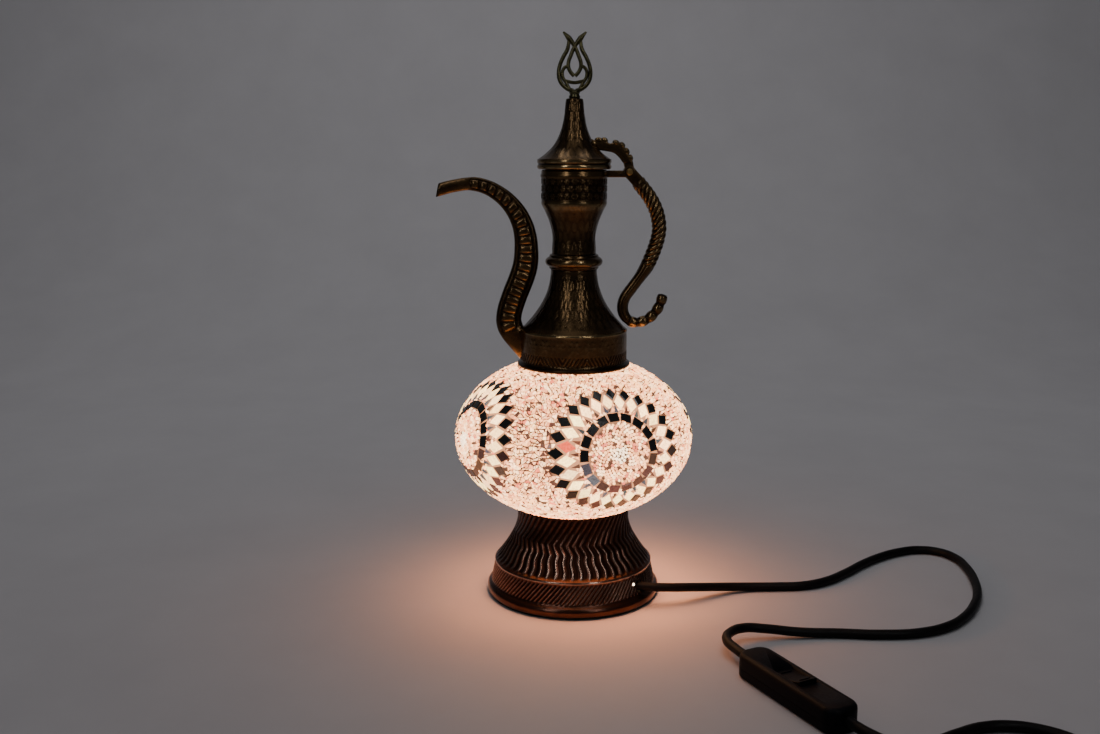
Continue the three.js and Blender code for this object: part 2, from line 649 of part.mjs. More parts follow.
function bellOutside(clearance = 0) {
  return [
    [LIP_RADIUS + clearance, EWER_FOOT],
    [LIP_RADIUS + 0.4 + clearance, EWER_FOOT + 1.2],
    [LIP_RADIUS + clearance, EWER_FOOT + 2.4],
    [SKIRT_RADIUS + clearance, EWER_FOOT + 3.4],
    ...bellHeights.map((height) => [bellRadius(height) + clearance, EWER_FOOT + height]),
  ];
}

function ewerBell() {
  const ledgeTop = SPIDER_FOOT - FIT_GAP;
  const inside = [
    ...bellHeights.map((height) => [bellRadius(height) - WALL, EWER_FOOT + height]).reverse().slice(0, -1),
    [SKIRT_INNER, EWER_FOOT + SHOULDER_HEIGHT - WALL],
    [SKIRT_INNER, ledgeTop],
    [SKIRT_INNER - SPIDER_LEDGE, ledgeTop],
    [SKIRT_INNER - SPIDER_LEDGE, ledgeTop - 2],
    [SKIRT_INNER, ledgeTop - 3.5],
    [SKIRT_INNER, GLOBE_CENTRE + globeRise(SKIRT_INNER) + FIT_GAP],
  ];
  return turned([...bellOutside(), ...inside]);
}
addPart('ewer_bell', ewerBell(), bronze);

const BORE = WAIST_RADIUS - WALL;
const ringStep = (share, reach) => [
  BELL_TOP_RADIUS + (RING_RADIUS - BELL_TOP_RADIUS) * reach,
  RING_FOOT + RING_HEIGHT * share,
];
addPart('neck_ring', turned([
  [BORE, RING_FOOT],
  ringStep(0, 0),
  ringStep(0.16, 0.58),
  ringStep(0.36, 0.92),
  ringStep(0.6, 1),
  ringStep(0.84, 0.55),
  ringStep(1, -0.1),
  [BORE, RING_FOOT + RING_HEIGHT],
]), bronze);

// Ewer neck: a waist, a flare to a rounded ridge and an upright drum with a rolled rim
function neckOutside(clearance = 0) {
  const flare = [0.36, 0.64, 0.84].map((share) => [
    WAIST_RADIUS + (DRUM_RADIUS - 0.6 - WAIST_RADIUS) * share ** 1.8 + clearance,
    NECK_FOOT + WAIST_HEIGHT + (RIDGE_HEIGHT - WAIST_HEIGHT) * share,
  ]);
  return [
    [WAIST_RADIUS + 0.5 + clearance, NECK_FOOT],
    [WAIST_RADIUS + clearance, NECK_FOOT + WAIST_HEIGHT],
    ...flare,
    [DRUM_RADIUS - 0.4 + clearance, NECK_FOOT + RIDGE_HEIGHT],
    [DRUM_RADIUS + clearance, NECK_FOOT + RIDGE_HEIGHT + 1.4],
    [DRUM_RADIUS - 0.2 + clearance, NECK_FOOT + RIDGE_HEIGHT + 3.5],
    [DRUM_RADIUS + clearance, RIM_HEIGHT - 6],
    [DRUM_RADIUS + 0.4 + clearance, RIM_HEIGHT - 4],
    [DRUM_RADIUS - 0.2 + clearance, RIM_HEIGHT],
  ];
}

function ewerNeck() {
  const { lerp } = THREE.MathUtils;
  const inside = [
    [DRUM_RADIUS - WALL, RIM_HEIGHT],
    [DRUM_RADIUS - WALL, NECK_FOOT + RIDGE_HEIGHT],
    [(DRUM_RADIUS + WAIST_RADIUS) / 2 - WALL, NECK_FOOT + lerp(WAIST_HEIGHT, RIDGE_HEIGHT, 0.62)],
    [BORE, NECK_FOOT + WAIST_HEIGHT],
    [BORE, NECK_FOOT],
  ];
  return turned([...neckOutside(), ...inside]);
}
addPart('ewer_neck', ewerNeck(), bronze);

// Lid: a brim of two beads, a flaring cone drawn up into a spire, and a spigot that drops into the neck
const SPIGOT_RADIUS = DRUM_RADIUS - WALL - SPIGOT_CLEARANCE;

function lidCone(share) {
  const flare = Math.exp(-3.3 * share) - Math.exp(-3.3);
  return SPIRE_RADIUS + (BRIM_RADIUS - SPIRE_RADIUS) * flare / (1 - Math.exp(-3.3));
}

const LID_STEPS = [0, 0.09, 0.22, 0.4, 0.64, 1];
const coneHeight = (share) => LID_FOOT + BRIM_HEIGHT + (LID_HEIGHT - BRIM_HEIGHT) * share;

function lidOutside(clearance = 0) {
  return [
    [BRIM_RADIUS - 1 + clearance, LID_FOOT],
    [BRIM_RADIUS + clearance, LID_FOOT + 1.2],
    [BRIM_RADIUS + clearance, LID_FOOT + 2.6],
    [BRIM_RADIUS - 0.8 + clearance, LID_FOOT + 3.5],
    [BRIM_RADIUS + clearance, LID_FOOT + 4.6],
    ...LID_STEPS.map((share) => [lidCone(share) + clearance, coneHeight(share)]),
  ];
}

function lidBody() {
  const stud = FINIAL_STUD_RADIUS + FIT_GAP;
  const hollow = [0.66, 0.3, 0.1].map((share) => [lidCone(share) - WALL, coneHeight(share)]);
  return turned([
    [SPIGOT_RADIUS, LID_FOOT - SPIGOT_LENGTH],
    [SPIGOT_RADIUS, LID_FOOT],
    ...lidOutside(),
    [stud, LID_FOOT + LID_HEIGHT],
    [stud, coneHeight(0.72)],
    ...hollow,
    [SPIGOT_RADIUS - WALL, LID_FOOT + BRIM_HEIGHT - 1],
    [SPIGOT_RADIUS - WALL, LID_FOOT - SPIGOT_LENGTH],
  ], BIG_ROUND);
}
addPart('lid', lidBody(), bronze);

// Lever: a cast arm with a leaf and a thumb knob that carries the lid over to the hinge on the handle
function leverOutline() {
  const z = (fromHinge) => HINGE.z + fromHinge;
  const cone = (share, sink) => [lidCone(share) - sink, coneHeight(share)];
  const top = [
    cone(0.36, 5),
    [HINGE.x - 22.5, z(20.6)],
    [HINGE.x - 17, z(21.6)],
    [HINGE.x - 13.2, z(18.6)],
    [HINGE.x - 8.5, z(19.8)],
    [HINGE.x - 4.2, z(17.2)],
    [HINGE.x - 0.4, z(11.5)],
    [HINGE.x + 2.4, z(6)],
    [HINGE.x + 3, z(0.5)],
  ];
  const under = [
    [HINGE.x - 3, z(0.5)],
    [HINGE.x - 4.6, z(5)],
    [HINGE.x - 6.2, z(8.6)],
    [HINGE.x - 10.2, z(12.2)],
    [HINGE.x - 15, z(13.4)],
    cone(0.14, 6),
  ];
  const curve = new THREE.SplineCurve(top.map(([x, height]) => new THREE.Vector2(x, height)));
  const below = new THREE.SplineCurve(under.map(([x, height]) => new THREE.Vector2(x, height)));
  return new THREE.Shape([...curve.getPoints(14), ...below.getPoints(8)]);
}

// Extruded outline that stands in the XZ plane, centred on y = 0
function upright(shape, width) {
  const plate = new THREE.ExtrudeGeometry(shape, { depth: width, bevelEnabled: false });
  return plate.rotateX(Math.PI / 2).translate(0, width / 2, 0);
}

function lidLever() {
  const arm = upright(leverOutline(), LEVER_WIDTH);
  const eye = crossPin(HINGE, HINGE_EYE, LEVER_WIDTH, SMALL_ROUND);
  const sides = [-1, 1].map((side) => {
    const centre = HINGE.clone().setY(side * (TONGUE_WIDTH / 2 + LEVER_WIDTH / 2));
    return crossPin(centre, HINGE_EYE + 1.2, LEVER_WIDTH, SMALL_ROUND);
  });
  const pinHole = crossPin(HINGE, HINGE_PIN_RADIUS + HINGE_PLAY, 2 * LEVER_WIDTH);
  const cone = [[0, LID_FOOT], ...lidOutside(FIT_GAP), [0, LID_FOOT + LID_HEIGHT]];
  return cut(join(arm, eye), ...sides, pinHole, turned(cone, BIG_ROUND));
}
addPart('lid_lever', lidLever(), bronze);

// Tulip finial: bent rods cast together, two horns that cross and close into a drop, outer petals, inner
// petals and two ties above the collar
function finialRod(points, steps) {
  const width = FINIAL_HALF_WIDTH;
  const foot = FINIAL_FOOT + FINIAL_COLLAR_HEIGHT;
  return tube(points.map(([x, z]) => [x * width, 0, foot + z * FINIAL_HEIGHT]), FINIAL_ROD, steps, 5);
}

function finial() {
  const mirrored = (points, steps) => [-1, 1].map((side) => {
    return finialRod(points.map(([x, z]) => [side * x, z]), steps);
  });
  const horns = [
    [-0.72, 1], [-0.36, 0.89], [-0.04, 0.77], [0.24, 0.6], [0.4, 0.44], [0.28, 0.33], [0.03, 0.25],
  ];
  const outer = [
    [0.36, 0.86], [0.45, 0.71], [0.72, 0.57], [0.94, 0.42], [1, 0.28], [0.88, 0.15], [0.5, 0.04], [0.1, 0],
  ];
  const inner = [[0.4, 0.43], [0.68, 0.38], [0.76, 0.25], [0.52, 0.13], [0.3, 0.02]];
  const tie = [[-0.6, 0.17], [0, 0.14], [0.6, 0.17]];
  const stem = turned([
    [0, LID_FOOT + LID_HEIGHT - 8],
    [FINIAL_STUD_RADIUS, LID_FOOT + LID_HEIGHT - 8],
    [FINIAL_STUD_RADIUS, FINIAL_FOOT],
    [FINIAL_COLLAR_RADIUS, FINIAL_FOOT],
    [FINIAL_COLLAR_RADIUS, FINIAL_FOOT + FINIAL_COLLAR_HEIGHT * 0.4],
    [FINIAL_COLLAR_RADIUS * 0.85, FINIAL_FOOT + FINIAL_COLLAR_HEIGHT * 0.6],
    [FINIAL_COLLAR_RADIUS, FINIAL_FOOT + FINIAL_COLLAR_HEIGHT],
    [0, FINIAL_FOOT + FINIAL_COLLAR_HEIGHT + 1],
  ], TINY_ROUND);
  return join(stem, ...mirrored(horns, 8), ...mirrored(outer, 8), ...mirrored(inner, 6), finialRod(tie, 3));
}
addPart('finial', finial(), brass);

// Curve in the XZ plane and the ring of points round it at a share of its length
function planarCurve(points) {
  return new THREE.CatmullRomCurve3(points.map(([x, z]) => new THREE.Vector3(x, 0, z)), false, 'centripetal');
}

function ringRound(curve, share, corners) {
  const centre = curve.getPointAt(share);
  const along = curve.getTangentAt(share);
  const across = new THREE.Vector3(along.z, 0, -along.x);
  return corners.map(([side, depth, forward = 0]) => centre.clone()
    .addScaledVector(across, side)
    .addScaledVector(along, forward)
    .setY(depth));
}

// Spout: a swan neck of flattened oval section with a ladder of raised blocks on each cheek and a plain beak
function spout() {
  const out = (reach, up) => [-(SKIRT_RADIUS + reach * SPOUT_REACH), EWER_FOOT + up * SPOUT_RISE];
  const curve = planarCurve([
    out(-0.109, 0.078), out(0.018, 0.143), out(0.102, 0.19), out(0.144, 0.241), out(0.14, 0.286),
    out(0.116, 0.331), out(0.058, 0.405), out(-0.009, 0.479), out(-0.06, 0.553), out(-0.075, 0.63),
    out(-0.065, 0.711), out(-0.024, 0.785), out(0.062, 0.859), out(0.198, 0.926), out(0.38, 0.978),
    out(0.58, 1), out(0.798, 0.989), out(1, 0.966),
  ]);
  const ladderStart = 0.12;
  const ladderEnd = 0.86;
  const stations = [{ share: 0, relief: 0 }, { share: 0.06, relief: 0 }];
  for (let k = 0; k < SPOUT_BLOCKS; k++) {
    const step = (ladderEnd - ladderStart) / SPOUT_BLOCKS;
    const start = ladderStart + k * step;
    stations.push({ share: start, relief: 0 }, { share: start + 0.5 * step, relief: 1 });
  }
  stations.push({ share: 0.93, relief: 0 }, { share: 1, relief: 0 });
  const rings = stations.map(({ share, relief }) => {
    const half = THREE.MathUtils.lerp(SPOUT_ROOT, SPOUT_TIP, THREE.MathUtils.smoothstep(share, 0.35, 0.88));
    const beak = share === 1 ? 0.5 : 0;
    const corners = Array.from({ length: 10 }, (_, k) => {
      const angle = (2 * Math.PI * (k + 0.5)) / 10;
      const side = half * Math.cos(angle);
      const cheek = Math.abs(Math.sin(angle)) > 0.75 ? relief * SPOUT_BLOCK_RELIEF : 0;
      const bulge = half * SPOUT_DEPTH * Math.abs(Math.sin(angle)) ** 0.6;
      const depth = Math.sign(Math.sin(angle)) * (bulge + cheek);
      return [side, depth, -beak * side];
    });
    return ringRound(curve, share, corners);
  });
  const wall = [[0, EWER_FOOT - 10], ...bellOutside(FIT_GAP), [0, EWER_FOOT + BELL_HEIGHT]];
  return cut(loft(rings), turned(wall));
}
addPart('spout', spout(), bronze);

// Handle: a bar from the neck to the hinge fork, a four-strand rope bow, a smooth bend that stands on the
// shoulder and a beaded tail that curls up behind it
function handleCurve() {
  const shoulder = EWER_FOOT + SHOULDER_HEIGHT;
  const level = (share) => shoulder + (HINGE.z - shoulder) * share;
  const bow = (reach, share) => [HINGE.x + reach * HANDLE_BOW, level(share)];
  const foot = (reach, share) => [SKIRT_RADIUS + reach * HANDLE_TAIL_REACH, level(share)];
  return planarCurve([
    bow(0.127, 0.975), bow(0.402, 0.911), bow(0.691, 0.838), bow(0.892, 0.762), bow(0.99, 0.687),
    bow(1, 0.621), foot(0.766, 0.535), foot(0.57, 0.42), foot(0.365, 0.343), foot(0.123, 0.266),
    foot(-0.057, 0.205), foot(-0.123, 0.147), foot(-0.074, 0.091), foot(0.098, 0.051), foot(0.344, 0.045),
    foot(0.598, 0.068), foot(0.799, 0.113), foot(0.926, 0.167), foot(1, 0.226),
  ]);
}

function handleBow() {
  const curve = handleCurve();
  const length = curve.getLength();
  const ropeEnd = 0.46;
  const bendEnd = 0.76;
  const ropeSteps = 28;
  const bendSteps = 7;
  const stepsPerBead = 3;
  const rings = [];
  const addRing = (share, radius, strand, turn) => {
    const corners = Array.from({ length: 3 * ROPE_STRANDS }, (_, k) => {
      const angle = turn + (2 * Math.PI * k) / (3 * ROPE_STRANDS);
      const reach = radius * (k % 3 ? 1 - strand : 1);
      return [reach * Math.cos(angle), reach * Math.sin(angle)];
    });
    rings.push(ringRound(curve, share, corners));
  };
  const turnAt = (share) => (2 * Math.PI * share * length) / ROPE_PITCH;
  for (let k = 0; k <= ropeSteps; k++) {
    const share = (ropeEnd * k) / ropeSteps;
    const easing = Math.min(1, k / 3);
    addRing(share, ROPE_RADIUS, 0.2 * easing, turnAt(share));
  }
  for (let k = 1; k <= bendSteps; k++) {
    const blend = k / bendSteps;
    const radius = THREE.MathUtils.lerp(ROPE_RADIUS * 0.94, HANDLE_BEND_RADIUS, Math.min(1, 2 * blend));
    addRing(ropeEnd + (bendEnd - ropeEnd) * blend, radius, 0.14 * Math.max(0, 1 - 2 * blend), turnAt(ropeEnd));
  }
  const tailSteps = HANDLE_BEADS * stepsPerBead;
  for (let k = 1; k <= tailSteps; k++) {
    const bead = Math.abs(Math.sin((Math.PI * k) / stepsPerBead));
    const close = k === tailSteps ? 0.55 : 1;
    const radius = close * HANDLE_TAIL_RADIUS * (0.84 + 0.22 * bead);
    addRing(bendEnd + ((1 - bendEnd) * k) / tailSteps, radius, 0, turnAt(ropeEnd));
  }
  return loft(rings);
}

function handle() {
  const forkWidth = TONGUE_WIDTH + 2 * (HINGE_PLAY + EAR_WIDTH);
  const knuckle = crossPin(HINGE, HINGE_EYE, forkWidth, SMALL_ROUND);
  const barTop = HINGE.z + 0.9;
  const bar = block(DRUM_RADIUS - 2, HINGE.x, -BAR_WIDTH / 2, BAR_WIDTH / 2, barTop - BAR_HEIGHT, barTop);
  const slotHalf = TONGUE_WIDTH / 2 + HINGE_PLAY;
  const slotEye = crossPin(HINGE, HINGE_EYE + 0.7, 2 * slotHalf, SMALL_ROUND);
  const slotAbove = block(HINGE.x - 12, HINGE.x + 14, -slotHalf, slotHalf, HINGE.z, HINGE.z + 12);
  const pinHole = crossPin(HINGE, HINGE_PIN_RADIUS + HINGE_PLAY, 2 * forkWidth);
  const bell = [[0, EWER_FOOT - 10], ...bellOutside(FIT_GAP + 0.1), [0, EWER_FOOT + BELL_HEIGHT]];
  const neck = [[0, NECK_FOOT], ...neckOutside(FIT_GAP), [0, RIM_HEIGHT]];
  return cut(join(handleBow(), knuckle, bar), slotEye, slotAbove, pinHole, turned(bell), turned(neck));
}
addPart('handle', handle(), bronze);

function hingePin() {
  const half = TONGUE_WIDTH / 2 + HINGE_PLAY + EAR_WIDTH + FIT_GAP;
  const head = HINGE_PIN_RADIUS + 0.9;
  const outline = [
    [0, -half - 1.2], [head * 0.7, -half - 1.2], [head, -half - 0.5], [head, -half],
    [HINGE_PIN_RADIUS, -half], [HINGE_PIN_RADIUS, half],
    [head, half], [head, half + 0.5], [head * 0.7, half + 1.2], [0, half + 1.2],
  ];
  return turned(outline, TINY_ROUND).rotateX(Math.PI / 2).translate(HINGE.x, HINGE.y, HINGE.z);
}
addPart('hinge_pin', hingePin(), brass);

// Cable inside the base, from the hole in the wall up into the nipple
const CORD_START = [40, -31.6, CORD_HOLE_HEIGHT + 0.2];
addPart('inner_cable', tube([
  [CORD_START[0] - FIT_GAP, CORD_START[1], CORD_START[2]],
  [28, -29, CORD_START[2] + 0.6],
  [12, -20, 17],
  [3, -8, 24],
  [0, -1, 31],
  [0, 0, BRIDGE_HEIGHT - NIPPLE_BELOW],
  [0, 0, BRIDGE_TOP + NIPPLE_ABOVE],
], INNER_CORD_RADIUS, 12, 6), blackPlastic);

// Lead from the base to the switch, laid on the table in one wide loop
const SWITCH_AXIS = new THREE.Vector2(Math.cos(SWITCH_TURN), Math.sin(SWITCH_TURN));
const switchEnd = (side) => {
  const reach = side * (SWITCH_LENGTH / 2 + FIT_GAP);
  const spot = SWITCH_CENTRE.clone().addScaledVector(SWITCH_AXIS, reach);
  return [spot.x, spot.y, SWITCH_CORD_HEIGHT];
};
const beyondSwitch = (side, reach, height) => {
  const [x, y] = switchEnd(side);
  return [x + side * reach * SWITCH_AXIS.x, y + side * reach * SWITCH_AXIS.y, height];
};
const LYING = CORD_RADIUS + 0.1;
addPart('cord_lamp', tube([
  CORD_START, [54, -33.2, 13.2], [66, -31.4, 12.2], [79, -25.5, 10], [93, -18, 7.2], [109, -11, 4.6],
  [126, -7.4, 3.3], [145, -6.4, LYING], [163, -4.5, LYING], [181, 4, LYING], [199, 20, LYING],
  [216, 38, LYING], [233, 53, LYING], [251, 64.5, LYING], [268, 69.5, LYING], [282, 65, LYING],
  [290, 51, LYING], [291, 31, LYING], [287.5, 6, LYING], [280.5, -19, LYING], [270, -41, LYING],
  [257, -60, LYING], [240, -76, LYING], [219, -85.5, LYING], [194, -88, LYING], [167, -86, LYING],
  [142, -86.4, 4], [121, -87.4, 6.6], [107, -89.6, 8.2], [97.4, -96.6, 8.6], [92.8, -108, 8.6],
  beyondSwitch(-1, 11, 8.2), switchEnd(-1),
], CORD_RADIUS, 42, 8), blackPlastic);

// Inline switch: two half shells screwed together and a rocker that pivots in the upper one
const switchGroup = new THREE.Group();
switchGroup.position.set(SWITCH_CENTRE.x, SWITCH_CENTRE.y, 0);
switchGroup.rotation.z = SWITCH_TURN;
lamp.add(switchGroup);

function roundedBar(length, width, radius) {
  const shape = new THREE.Shape();
  const corners = [[1, 1], [-1, 1], [-1, -1], [1, -1]];
  const points = [];
  corners.forEach(([sx, sy], corner) => {
    for (let k = 0; k <= 3; k++) {
      const angle = (Math.PI / 2) * (corner + k / 3);
      points.push(new THREE.Vector2(
        sx * (length / 2 - radius) + radius * Math.cos(angle),
        sy * (width / 2 - radius) + radius * Math.sin(angle),
      ));
    }
  });
  shape.setFromPoints(points);
  return shape;
}

function bevelled(shape, foot, height, bevel) {
  const bevelSettings = { bevelEnabled: true, bevelSize: bevel, bevelThickness: bevel, bevelOffset: -bevel };
  const depth = height - 2 * bevel;
  const body = new THREE.ExtrudeGeometry(shape, { depth, bevelSegments: 2, ...bevelSettings });
  return body.translate(0, 0, foot + bevel);
}

const ROCKER_AXIS_HEIGHT = SWITCH_HEIGHT - 3;
const screwPlaces = [-1, 1].map((side) => side * (SWITCH_LENGTH / 2 - 12));
const SCREW_RADIUS = 2.6;

function switchBase() {
  const tray = bevelled(roundedBar(SWITCH_LENGTH, SWITCH_WIDTH, SWITCH_CORNER), 0, SWITCH_SPLIT + 2, 2);
  const flat = block(-SWITCH_LENGTH, SWITCH_LENGTH, -SWITCH_WIDTH, SWITCH_WIDTH, SWITCH_SPLIT, SWITCH_HEIGHT);
  const sinks = screwPlaces.map((x) => rod(SCREW_RADIUS + FIT_GAP, -1, 3.4, TINY_ROUND).translate(x, 0, 0));
  return cut(tray, flat, ...sinks);
}

function switchCover() {
  const overlap = 3;
  const body = roundedBar(SWITCH_LENGTH, SWITCH_WIDTH, SWITCH_CORNER);
  const shell = bevelled(body, SWITCH_SPLIT - overlap, SWITCH_HEIGHT - SWITCH_SPLIT + overlap, overlap);
  const split = SWITCH_SPLIT + FIT_GAP;
  const below = block(-SWITCH_LENGTH, SWITCH_LENGTH, -SWITCH_WIDTH, SWITCH_WIDTH, 0, split);
  const halfLength = ROCKER_LENGTH / 2 + ROCKER_PLAY;
  const halfWidth = ROCKER_WIDTH / 2 + ROCKER_PLAY;
  const well = block(-halfLength, halfLength, -halfWidth, halfWidth, split + 1.2, SWITCH_HEIGHT + 1);
  const axis = new THREE.Vector3(0, 0, ROCKER_AXIS_HEIGHT);
  const axleHole = crossPin(axis, ROCKER_AXLE_RADIUS + FIT_GAP, ROCKER_WIDTH + 5);
  return cut(shell, below, well, axleHole);
}

function switchRocker() {
  const half = ROCKER_LENGTH / 2 - 0.4;
  const outline = new THREE.Shape([
    [-half, 3.4], [0, 2.2], [half, 3.4], [half, -0.8], [half * 0.5, -2.4], [-half * 0.5, -2.4], [-half, -0.8],
  ].map(([x, z]) => new THREE.Vector2(x, z)));
  const paddle = upright(outline, ROCKER_WIDTH);
  const axle = crossPin(new THREE.Vector3(), ROCKER_AXLE_RADIUS, ROCKER_WIDTH + 4);
  return join(paddle, axle).rotateY(-ROCKER_TILT).translate(0, 0, ROCKER_AXIS_HEIGHT);
}

addPart('switch_base', switchBase(), blackPlastic, switchGroup);
addPart('switch_cover', switchCover(), blackPlastic, switchGroup);
addPart('switch_rocker', switchRocker(), blackPlastic, switchGroup);
screwPlaces.forEach((x, k) => {
  const head = rod(SCREW_RADIUS, 0.4, 1.7, TINY_ROUND).translate(x, 0, 0);
  addPart(`switch_screw_${k + 1}`, head, steel, switchGroup);
});

// Lead from the switch to the coil that is put away beside the lamp
const COIL_LOW = CORD_RADIUS + TIE_THICKNESS + 0.5;
const COIL_HIGH = COIL_LOW + COIL_PITCH;
const COIL_INNER = COIL_OUTER - COIL_PITCH * COIL_TURNS;
const COIL_STRAIGHT = 2 * CORD_RADIUS;
const coilEntry = [COIL_CENTRE.x + COIL_OUTER, COIL_CENTRE.y + COIL_STRAIGHT + FIT_GAP, COIL_LOW];
addPart('cord_mains', tube([
  switchEnd(1), beyondSwitch(1, 6, 7.8), [150, -222.5, 7], [157.5, -227.3, 5.6], [168, -228.3, 4.2],
  [182, -223.5, 3.3], [198, -214.5, LYING], [213, -207.5, LYING], [228, -205.8, LYING], [243, -210, LYING],
  [256, -220.5, LYING], [264.2, -235, LYING], [267.6, -252, LYING], [268, -270, 3.6], coilEntry,
], CORD_RADIUS, 17, 8), blackPlastic);

// Coil: the lead winds in over two turns, climbs a layer on the half turn where it reverses, and winds out
function coilPoint(turn) {
  const inEnd = COIL_TURNS;
  const outStart = COIL_TURNS + 0.5;
  let radius = COIL_OUTER - COIL_PITCH * turn;
  let height = COIL_LOW;
  if (turn > inEnd) {
    const climb = Math.min(1, (turn - inEnd) / 0.5);
    radius = COIL_INNER - COIL_DIP * Math.sin(Math.PI * climb);
    height = COIL_LOW + COIL_PITCH * THREE.MathUtils.smoothstep(climb, 0, 1);
  }
  if (turn > outStart) radius = COIL_INNER + COIL_PITCH * (turn - outStart);
  const angle = -2 * Math.PI * turn;
  const reach = new THREE.Vector3(radius * Math.cos(angle), radius * Math.sin(angle), height);
  return reach.add(new THREE.Vector3(COIL_CENTRE.x, COIL_CENTRE.y, 0));
}

const COIL_TOTAL = 2 * COIL_TURNS + 0.5;
const STEPS_PER_TURN = 22;

function coilRoute(stepsPerTurn) {
  const steps = Math.round(COIL_TOTAL * stepsPerTurn);
  return Array.from({ length: steps + 1 }, (_, k) => coilPoint((COIL_TOTAL * k) / steps));
}

function cordCoil() {
  const route = coilRoute(STEPS_PER_TURN);
  const first = route[0].clone().add(new THREE.Vector3(0, COIL_STRAIGHT, 0));
  const last = route[route.length - 1].clone().add(new THREE.Vector3(-COIL_STRAIGHT, 0, 0));
  const points = [first, ...route, last];
  const rings = points.map((centre, k) => {
    const before = points[Math.max(0, k - 1)];
    const after = points[Math.min(points.length - 1, k + 1)];
    const along = after.clone().sub(before).normalize();
    const side = new THREE.Vector3(along.y, -along.x, 0).normalize();
    const up = new THREE.Vector3().crossVectors(side, along);
    return Array.from({ length: 6 }, (_, c) => {
      const angle = (Math.PI / 3) * (c + 0.5);
      return centre.clone()
        .addScaledVector(side, CORD_RADIUS * Math.cos(angle))
        .addScaledVector(up, CORD_RADIUS * Math.sin(angle));
    });
  });
  return loft(rings);
}

function leastCoilGap() {
  const finer = 3;
  const route = coilRoute(finer * STEPS_PER_TURN);
  const apart = Math.round(finer * STEPS_PER_TURN * 0.4);
  let least = Infinity;
  route.forEach((point, i) => {
    for (const other of route.slice(i + apart)) least = Math.min(least, point.distanceTo(other));
  });
  return least - 2 * CORD_RADIUS;
}
addPart('cord_coil', cordCoil(), blackPlastic);
console.log(`least gap between turns of the coil: ${leastCoilGap().toFixed(2)} mm`);

function coilTie() {
  const inner = COIL_INNER - CORD_RADIUS - COIL_DIP - FIT_GAP;
  const outer = COIL_OUTER + CORD_RADIUS + 2 * FIT_GAP;
  const low = COIL_LOW - CORD_RADIUS - FIT_GAP;
  const high = COIL_HIGH + CORD_RADIUS + FIT_GAP;
  const t = TIE_THICKNESS;
  const outside = block(inner - t, outer + t, -TIE_WIDTH / 2, TIE_WIDTH / 2, low - t, high + t);
  const inside = block(inner, outer, -TIE_WIDTH, TIE_WIDTH, low, high);
  return cut(outside, inside).rotateZ(TIE_ANGLE).translate(COIL_CENTRE.x, COIL_CENTRE.y, 0);
}
addPart('coil_tie', coilTie(), blackPlastic);

// Tail from the coil to the plug, and the plug with its two round pins
const coilExit = coilPoint(COIL_TOTAL);
const PLUG_AXIS_HEIGHT = PLUG_HEIGHT / 2 + 0.1;
const tailStart = coilExit.x - COIL_STRAIGHT - FIT_GAP;
const plugStart = tailStart - PLUG_TAIL;
addPart('cord_tail', tube([
  [tailStart, coilExit.y, COIL_HIGH],
  [tailStart - 7, coilExit.y, COIL_HIGH],
  [tailStart - PLUG_TAIL / 2, coilExit.y, (COIL_HIGH + PLUG_AXIS_HEIGHT) / 2],
  [plugStart + 7, coilExit.y, PLUG_AXIS_HEIGHT],
  [plugStart, coilExit.y, PLUG_AXIS_HEIGHT],
], CORD_RADIUS, 5, 8), blackPlastic);

const plugGroup = new THREE.Group();
plugGroup.position.set(plugStart - FIT_GAP, coilExit.y, PLUG_AXIS_HEIGHT);
plugGroup.rotation.z = Math.PI;
lamp.add(plugGroup);

function plugRing(x, width, height) {
  const sides = 12;
  return Array.from({ length: sides }, (_, k) => {
    const angle = (2 * Math.PI * (k + 0.5)) / sides;
    const round = (value) => Math.sign(value) * Math.abs(value) ** 0.7;
    return new THREE.Vector3(x, (width / 2) * round(Math.cos(angle)), (height / 2) * round(Math.sin(angle)));
  });
}

addPart('plug_relief', loft([
  plugRing(0, 2.5 * CORD_RADIUS, 2.5 * CORD_RADIUS),
  plugRing(PLUG_RELIEF_LENGTH * 0.5, 3 * CORD_RADIUS, 3 * CORD_RADIUS),
  plugRing(PLUG_RELIEF_LENGTH, 3.6 * CORD_RADIUS, 3.6 * CORD_RADIUS),
]), blackPlastic, plugGroup);
const plugFoot = PLUG_RELIEF_LENGTH + FIT_GAP;
addPart('plug_body', loft([
  plugRing(plugFoot, 4 * CORD_RADIUS, PLUG_HEIGHT * 0.85),
  plugRing(plugFoot + PLUG_LENGTH * 0.35, PLUG_WIDTH * 0.55, PLUG_HEIGHT * 0.95),
  plugRing(plugFoot + PLUG_LENGTH * 0.65, PLUG_WIDTH * 0.95, PLUG_HEIGHT),
  plugRing(plugFoot + PLUG_LENGTH, PLUG_WIDTH, PLUG_HEIGHT),
]), blackPlastic, plugGroup);
[-1, 1].forEach((side, k) => {
  const pin = turned([
    [0, 0], [PIN_RADIUS, 0], [PIN_RADIUS, PIN_LENGTH - 1], [PIN_RADIUS / 2, PIN_LENGTH], [0, PIN_LENGTH],
  ], TINY_ROUND).rotateY(Math.PI / 2);
  pin.translate(plugFoot + PLUG_LENGTH + FIT_GAP, (side * PIN_SPACING) / 2, 0);
  addPart(`plug_pin_${k + 1}`, pin, brass, plugGroup);
});

export default lamp;
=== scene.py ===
import math
import random

